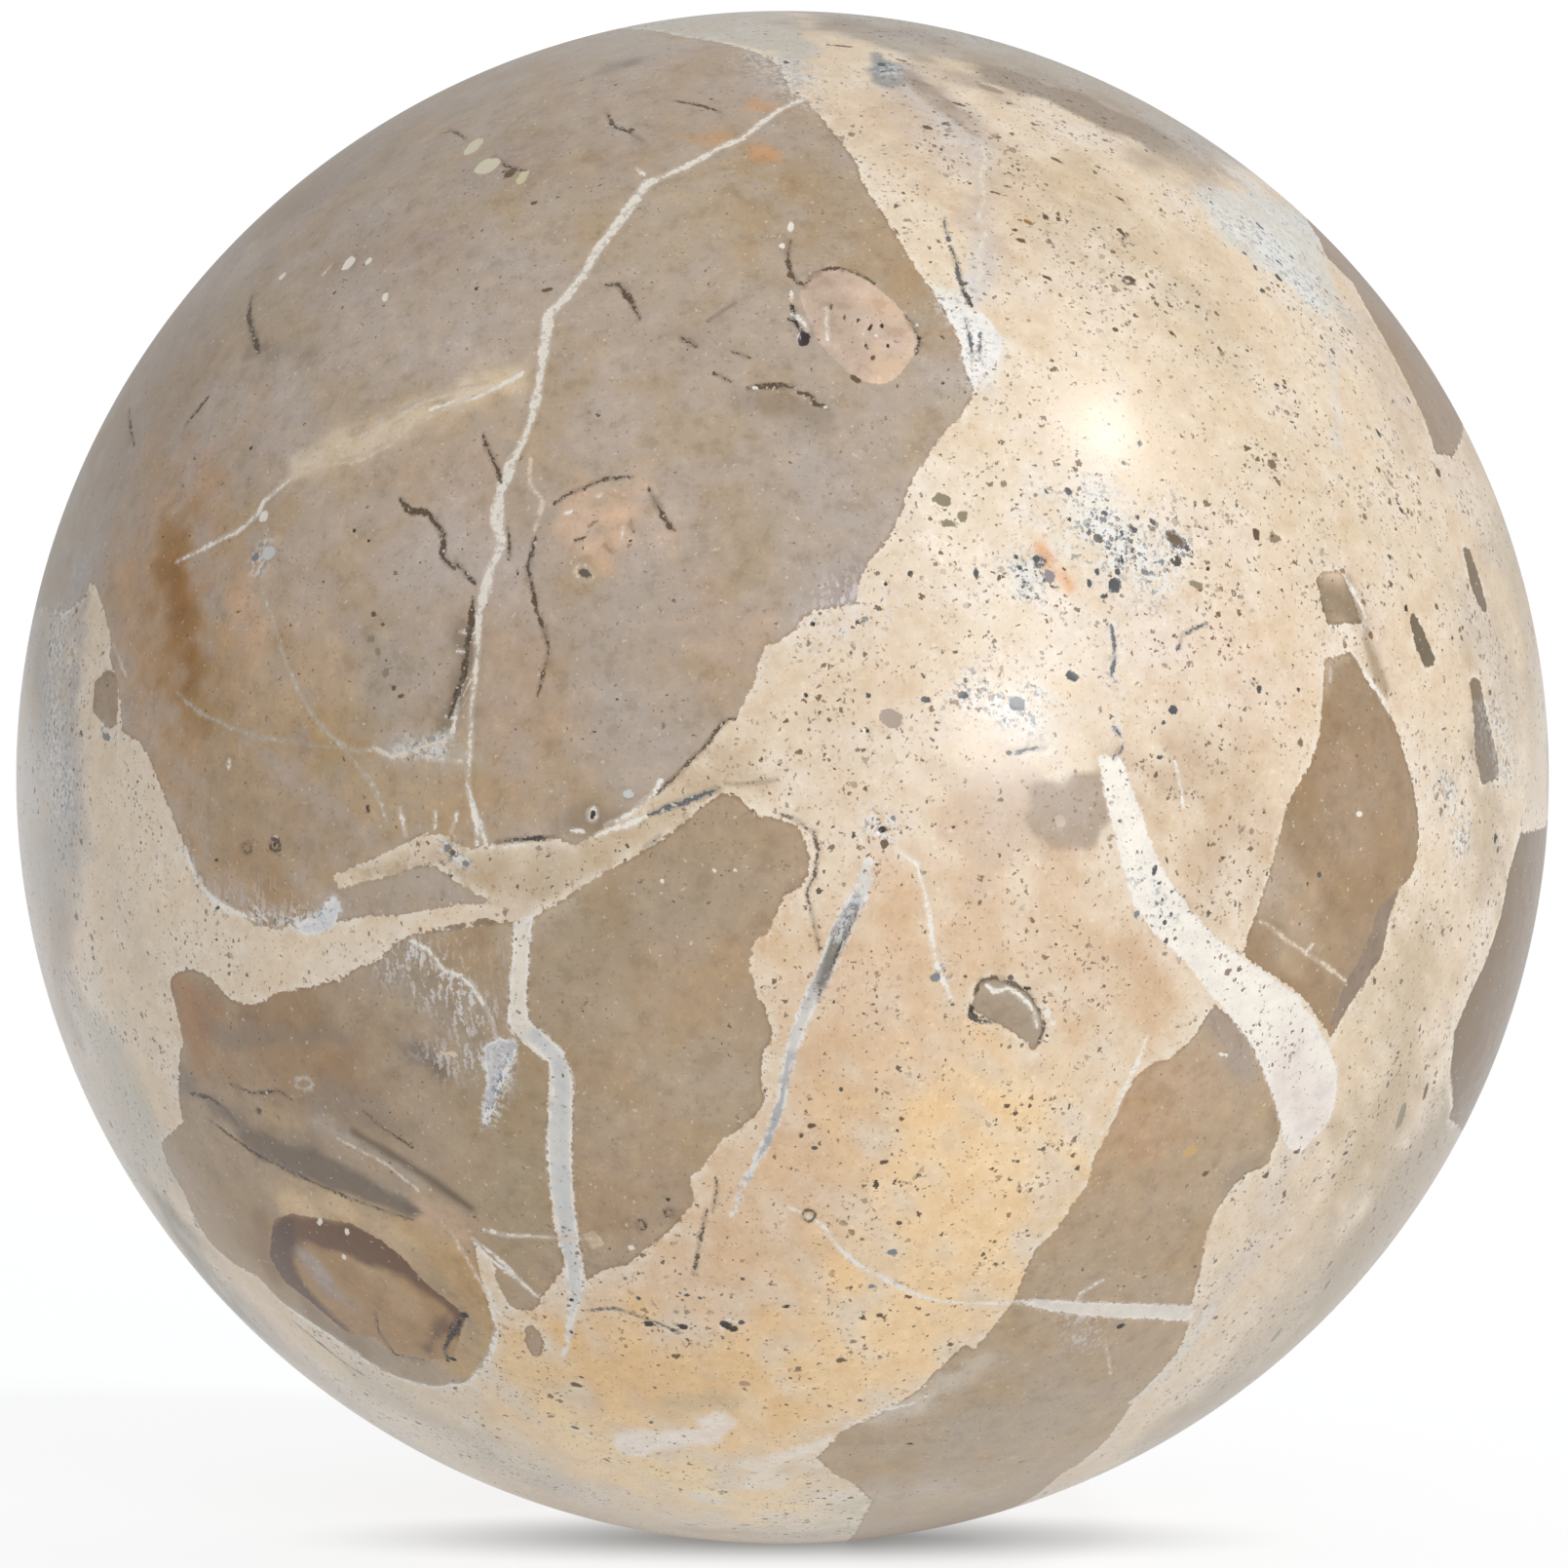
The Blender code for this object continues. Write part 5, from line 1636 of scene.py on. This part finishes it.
def polished_breccia():
    """The stone's material, painted from the values that the skin carries."""
    g = Graph("polished_breccia")
    place = g.node("ShaderNodeTexCoord").outputs["Object"]
    scaled = g.node("ShaderNodeVectorMath", operation="SCALE")
    g.put(scaled.inputs[0], place)
    scaled.inputs["Scale"].default_value = MM
    mm = scaled.outputs[0]

    # Three free noises in one: they ruffle edges and bend the cell patterns
    ruffle = g.noise(mm, 2.1, detail=3.0, rough=0.66, output="Color")
    ruffle_x, ruffle_y, ruffle_z = g.split(ruffle)
    bend = g.node("ShaderNodeVectorMath", operation="MULTIPLY_ADD")
    g.put(bend.inputs[0], ruffle)
    bend.inputs[1].default_value = (0.9, 0.9, 0.9)
    g.put(bend.inputs[2], mm)
    bent = bend.outputs[0]
    cloud = g.noise(mm, 0.14, detail=3.0, rough=0.60)
    mottle = g.noise(mm, 0.62, detail=4.0, rough=0.66)

    def edged(value, wobble, amount, blur):
        """A sharp mask from a signed distance, with its edge ruffled."""
        moved = g.maths("MULTIPLY_ADD", g.maths("SUBTRACT", wobble, 0.5), amount, value)
        return g.ramp(moved, -blur, blur, 1.0, 0.0)

    # Ground: cream with chalky and peach blotches and a fine crumb
    ground = g.attribute("ground_colour", "Color")
    ground = g.tint(cloud, 0.50, 0.64, ground, (1.01, 1.04, 1.10))
    ground = g.tint(cloud, 0.50, 0.38, ground, (0.98, 0.95, 0.90))
    ground = g.tint(mottle, 0.50, 0.66, ground, (1.06, 1.08, 1.11))
    ground = g.tint(mottle, 0.50, 0.34, ground, (0.94, 0.91, 0.87))
    ground = g.tint(ruffle_z, 0.43, 0.24, ground, (0.78, 0.71, 0.62))
    ground = g.tint(ruffle_x, 0.56, 0.74, ground, (1.12, 1.16, 1.20))
    # Clasts: lilac-grey and ochre clouds, with a fine crumb
    clast = g.attribute("clast_colour", "Color")
    clast = g.tint(cloud, 0.50, 0.66, clast, (1.02, 1.06, 1.14))
    clast = g.tint(cloud, 0.50, 0.36, clast, (0.97, 0.92, 0.81))
    clast = g.tint(mottle, 0.50, 0.68, clast, (1.13, 1.12, 1.10))
    clast = g.tint(mottle, 0.49, 0.32, clast, (0.86, 0.83, 0.78))
    clast = g.tint(ruffle_z, 0.42, 0.24, clast, (0.76, 0.72, 0.67))
    clast = g.tint(ruffle_x, 0.58, 0.74, clast, (1.15, 1.15, 1.15))

    # The ground turns chalky against a clast, and the clast's rim is stained
    depth = g.attribute("clast")
    chalk = g.maths("MULTIPLY", g.ramp(depth, 0.9, 0.0, 0.0, 0.5), g.ramp(mottle, 0.44, 0.56))
    ground = g.mix(chalk, ground, rgba((244, 236, 222)))
    stain = g.maths("MULTIPLY", g.ramp(depth, -0.30, -0.05), g.ramp(cloud, 0.40, 0.55))
    clast = g.mix(stain, clast, (0.80, 0.73, 0.64, 1.0), "MULTIPLY")
    in_clast = edged(depth, ruffle_x, 0.85, 0.035)
    body = g.mix(in_clast, ground, clast)
    inset = g.attribute("inset_colour", "Color")
    inset = g.tint(mottle, 0.49, 0.34, inset, (0.86, 0.81, 0.75))
    inset = g.tint(mottle, 0.51, 0.66, inset, (1.13, 1.14, 1.15))
    body = g.mix(edged(g.attribute("inset"), ruffle_y, 0.55, 0.05), body, inset)

    # White calcite, cloudy, with a paler rim and a faint bloom beside it
    calcite = g.attribute("vein_colour", "Color")
    calcite = g.tint(mottle, 0.50, 0.34, calcite, (0.91, 0.92, 0.94))
    calcite = g.tint(mottle, 0.50, 0.64, calcite, (1.06, 1.06, 1.06))
    calcite = g.tint(ruffle_z, 0.44, 0.26, calcite, (0.84, 0.85, 0.88))
    vein = g.attribute("vein")
    rim = g.maths("MULTIPLY", g.ramp(vein, -0.30, -0.10, 0.0, 0.75), g.ramp(mottle, 0.42, 0.54))
    calcite = g.mix(rim, calcite, rgba((246, 242, 236)))
    bloom = g.maths("MULTIPLY", g.ramp(vein, 0.32, 0.0, 0.0, 0.8), g.ramp(ruffle_x, 0.46, 0.60))
    body = g.mix(bloom, body, rgba((236, 230, 222)))
    in_vein = edged(vein, ruffle_z, 0.85, 0.07)
    body = g.mix(in_vein, body, calcite)

    # Crystals: patches of white and blue-grey splinters
    frost = g.attribute("frost")
    white_share = g.maths("MULTIPLY", frost, g.ramp(ruffle_y, 0.47, 0.53, 0.0, 0.85))
    body = g.mix(white_share, body, rgba((236, 237, 238)))
    blue_share = g.maths("MULTIPLY", frost, g.ramp(ruffle_x, 0.45, 0.39))
    body = g.mix(blue_share, body, rgba((104, 118, 130)))

    # Specks: small grains of several sizes, thick in the ground and thin in the clasts
    crowd = g.attribute("crowd")
    thin = g.maths("MULTIPLY", g.ramp(in_clast, 0.0, 1.0, 1.0, 0.55), g.ramp(in_vein, 0.0, 1.0, 1.0, 0.9))
    patchy = g.maths("MULTIPLY", g.ramp(cloud, 0.42, 0.57, 0.7, 1.2), g.ramp(mottle, 0.40, 0.54, 0.75, 1.1))
    amount = g.maths("MULTIPLY", g.maths("MULTIPLY", crowd, thin), patchy)
    blueness = g.ramp(crowd, 1.25, 1.65, 0.0, 0.65)
    ink = [(0.0, (106, 76, 44)), (0.5, (134, 106, 76)), (0.8, (90, 78, 62)), (1.0, (52, 46, 40))]
    sizes = [(2.9, 0.40, 0.42), (1.25, 0.42, 0.31), (0.55, 0.52, 0.17)]
    for scale, rare, reach in sizes:
        cell = g.cells(bent, scale)
        pick = g.split(cell.outputs["Color"])
        edge = g.maths("MULTIPLY", g.ramp(pick[0], rare, 1.0, 0.0, reach), amount)
        gap = g.maths("SUBTRACT", cell.outputs["Distance"], edge)
        blur = 0.03 * scale
        share = g.maths("MULTIPLY", g.ramp(gap, -blur, blur, 1.0, 0.0), g.ramp(pick[2], 0.0, 0.9, 0.3, 0.95))
        body = g.mix(share, body, g.mix(blueness, g.colours(pick[1], ink), rgba((66, 80, 92))))
        if scale > 2.0:
            grain_reach = g.ramp(pick[2], 0.84, 1.0, 0.0, reach * 0.7)
            pale_gap = g.maths("SUBTRACT", cell.outputs["Distance"], grain_reach)
            body = g.mix(g.ramp(pale_gap, -blur, blur, 0.6, 0.0), body, rgba((232, 218, 200)))
    # Fine scratches filled with white
    long = g.node("ShaderNodeVectorMath", operation="MULTIPLY")
    g.put(long.inputs[0], bent)
    long.inputs[1].default_value = (3.2, 3.2, 0.55)
    scrape = g.noise(long.outputs[0], 1.0, detail=1.0, rough=0.5)
    scraped = g.maths("MULTIPLY", g.ramp(scrape, 0.52, 0.62, 0.0, 0.9), g.attribute("scratch"))
    body = g.mix(scraped, body, rgba((232, 228, 228)))

    # Thin veins and cracks
    line_paint_stops = [
        (0.0, (48, 40, 34)), (0.25, (86, 70, 52)), (0.5, (86, 94, 104)), (0.75, (224, 208, 186)),
        (1.0, (246, 242, 234)),
    ]
    cracks = []
    for k in range(SETS):
        signed, width, tone = g.split(g.attribute(f"stroke_{k}", "Vector"))
        wobble = (ruffle_x, ruffle_y, ruffle_z)[k]
        other = (ruffle_y, ruffle_z, ruffle_x)[k]
        bent_gap = g.maths("MULTIPLY_ADD", g.maths("SUBTRACT", wobble, 0.5), 0.48, signed)
        gap = g.maths("ABSOLUTE", bent_gap)
        fray = g.maths("MULTIPLY", g.maths("SUBTRACT", other, 0.49), g.ramp(tone, 0.30, 0.60, 0.65, 0.6))
        swell = g.maths("MULTIPLY", g.maths("SUBTRACT", mottle, 0.49), g.ramp(tone, 0.30, 0.60, 0.9, 0.9))
        frayed = g.maths("ADD", g.maths("ADD", fray, swell), width)
        mask = g.ramp(g.maths("SUBTRACT", gap, frayed), -0.06, 0.05, 0.90, 0.0)
        paint = g.colours(tone, line_paint_stops)
        halo = g.ramp(g.maths("SUBTRACT", gap, width), 0.0, 0.32, 0.28, 0.0)
        body = g.mix(halo, body, paint)
        paint = g.mix(g.ramp(other, 0.48, 0.38, 0.0, 0.4), paint, rgba((140, 132, 124)))
        paint = g.mix(g.ramp(other, 0.59, 0.67, 0.0, 0.8), paint, rgba((226, 216, 200)))
        body = g.mix(mask, body, paint)
        cracks.append(g.maths("MULTIPLY", mask, g.ramp(tone, 0.2, 0.5, 1.0, 0.2)))

    in_grain = edged(g.attribute("grain"), ruffle_y, 0.45, 0.04)
    body = g.mix(in_grain, body, g.attribute("grain_colour", "Color"))
    g.put(g.shader.inputs["Base Color"], body)

    # Polish: a little duller over cracks
    dull = g.maths("MAXIMUM", g.maths("MAXIMUM", cracks[0], cracks[1]), cracks[2])
    rough = g.maths("MULTIPLY_ADD", dull, 0.2, g.ramp(mottle, 0.3, 0.7, 0.34, 0.44))
    g.put(g.shader.inputs["Roughness"], rough)
    g.shader.inputs["IOR"].default_value = 1.5
    g.shader.inputs["Coat Weight"].default_value = 0.30
    g.shader.inputs["Coat Roughness"].default_value = 0.22
    bump = g.node("ShaderNodeBump")
    bump.inputs["Strength"].default_value = 0.25
    bump.inputs["Distance"].default_value = 0.00004
    g.put(bump.inputs["Height"], mottle)
    g.put(g.shader.inputs["Normal"], bump.outputs["Normal"])
    return g.material


skin.materials.append(polished_breccia())
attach(ball, "root")
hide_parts("stone_ball")


# Camera, at the photograph's angle
camera_data = bpy.data.cameras.new("camera")
camera_data.sensor_width = 36.0
camera_data.sensor_fit = "HORIZONTAL"
camera_data.lens = FOCAL_PX * camera_data.sensor_width / IMAGE
camera_data.shift_x = (IMAGE / 2 - BALL_X) / IMAGE
camera_data.shift_y = (BALL_Y - IMAGE / 2) / IMAGE
camera_data.clip_start = 0.01
camera_data.clip_end = 100.0
camera = bpy.data.objects.new("camera", camera_data)
camera.location = BACK * CAMERA_DISTANCE + np.array([0.0, 0.0, CENTRE_HEIGHT])
camera.rotation_euler = (math.pi / 2 - CAMERA_ELEVATION, 0.0, 0.0)
bpy.context.scene.collection.objects.link(camera)
bpy.context.scene.camera = camera


# Light
def soft_sun(name, right, up, toward, strength, width, shines=True):
    """A broad soft light from a direction given as seen by the camera."""
    data = bpy.data.lights.new(name, "SUN")
    data.energy = strength
    data.angle = math.radians(width)
    data.color = (1.0, 0.995, 0.985)
    lamp = bpy.data.objects.new(name, data)
    away = -(RIGHT * right + UP * up + BACK * toward)
    lamp.rotation_euler = bpy_direction(away)
    lamp.visible_glossy = shines
    bpy.context.scene.collection.objects.link(lamp)


def bpy_direction(way):
    return Vector(way).to_track_quat("-Z", "Y").to_euler()


# Right, up and toward the camera, strength, and width in degrees
soft_sun("front_right_light", 0.54, 0.115, 0.834, 1.0, 13.0)
soft_sun("high_right_light", 0.648, 0.695, 0.29, 0.75, 8.0)
soft_sun("front_fill", -0.15, 0.0, 0.99, 0.35, 150.0, shines=False)
soft_sun("back_fill", -0.2, 0.3, -0.93, 0.50, 120.0, shines=False)

# The backdrop is seen pure white, while a weaker white lights the ball
BACKDROP_STRENGTH = 1.05
SKY_STRENGTH = 0.52
world = bpy.data.worlds.new("white_studio")
bpy.context.scene.world = world
world.use_nodes = True
tree = world.node_tree
tree.nodes.clear()
seen = tree.nodes.new("ShaderNodeBackground")
seen.inputs["Color"].default_value = (1.0, 1.0, 1.0, 1.0)
seen.inputs["Strength"].default_value = BACKDROP_STRENGTH
fill = tree.nodes.new("ShaderNodeBackground")
fill.inputs["Color"].default_value = (1.0, 0.99, 0.98, 1.0)
fill.inputs["Strength"].default_value = SKY_STRENGTH
path_node = tree.nodes.new("ShaderNodeLightPath")
choose = tree.nodes.new("ShaderNodeMixShader")
world_out = tree.nodes.new("ShaderNodeOutputWorld")
tree.links.new(path_node.outputs["Is Camera Ray"], choose.inputs[0])
tree.links.new(fill.outputs[0], choose.inputs[1])
tree.links.new(seen.outputs[0], choose.inputs[2])
tree.links.new(choose.outputs[0], world_out.inputs["Surface"])

# Floor: paper that glows white, with a painted contact shadow under the ball. The shadow is an oval,
# squashed from front to back and shifted toward the front, where the paper glows less.
FLOOR = 6.0
SHADE_SHIFT = 0.004
SHADE_START = 0.0
SHADE_END = 0.042
SHADE_SQUASH = 2.6
SHADE_GLOW = 0.15
PAPER_GLOW = 0.80
PAPER = (0.24, 0.25, 0.265, 1.0)
floor_mesh = bpy.data.meshes.new("floor")
floor_mesh.from_pydata(
    [(-FLOOR, -FLOOR, 0.0), (FLOOR, -FLOOR, 0.0), (FLOOR, FLOOR, 0.0), (-FLOOR, FLOOR, 0.0)],
    [],
    [(0, 1, 2, 3)],
)
floor = bpy.data.objects.new("floor", floor_mesh)
bpy.context.scene.collection.objects.link(floor)
paper = bpy.data.materials.new("white_paper")
paper.use_nodes = True
paper_shader = paper.node_tree.nodes["Principled BSDF"]
paper_shader.inputs["Base Color"].default_value = PAPER
paper_shader.inputs["Roughness"].default_value = 0.9
paper_shader.inputs["Specular IOR Level"].default_value = 0.0
paper_shader.inputs["Emission Color"].default_value = (1.0, 1.0, 1.0, 1.0)
paper_place = paper.node_tree.nodes.new("ShaderNodeTexCoord")
paper_reach = paper.node_tree.nodes.new("ShaderNodeVectorMath")
paper_reach.operation = "LENGTH"
paper_glow = paper.node_tree.nodes.new("ShaderNodeMapRange")
paper_glow.interpolation_type = "SMOOTHSTEP"
for key, number in (
    ("From Min", SHADE_START), ("From Max", SHADE_END), ("To Min", SHADE_GLOW), ("To Max", PAPER_GLOW),
):
    paper_glow.inputs[key].default_value = number
paper_links = paper.node_tree.links
paper_squash = paper.node_tree.nodes.new("ShaderNodeVectorMath")
paper_squash.operation = "MULTIPLY"
paper_squash.inputs[1].default_value = (1.0, SHADE_SQUASH, 1.0)
paper_links.new(paper_place.outputs["Object"], paper_squash.inputs[0])
paper_links.new(paper_squash.outputs[0], paper_reach.inputs[0])
paper_links.new(paper_reach.outputs["Value"], paper_glow.inputs["Value"])
paper_links.new(paper_glow.outputs["Result"], paper_shader.inputs["Emission Strength"])
floor_mesh.materials.append(paper)
# The floor's glow is for the eye alone and doesn't light the ball
floor.visible_diffuse = False
floor.location = (0.0, -SHADE_SHIFT, 0.0)

bpy.context.scene.view_settings.view_transform = "Standard"
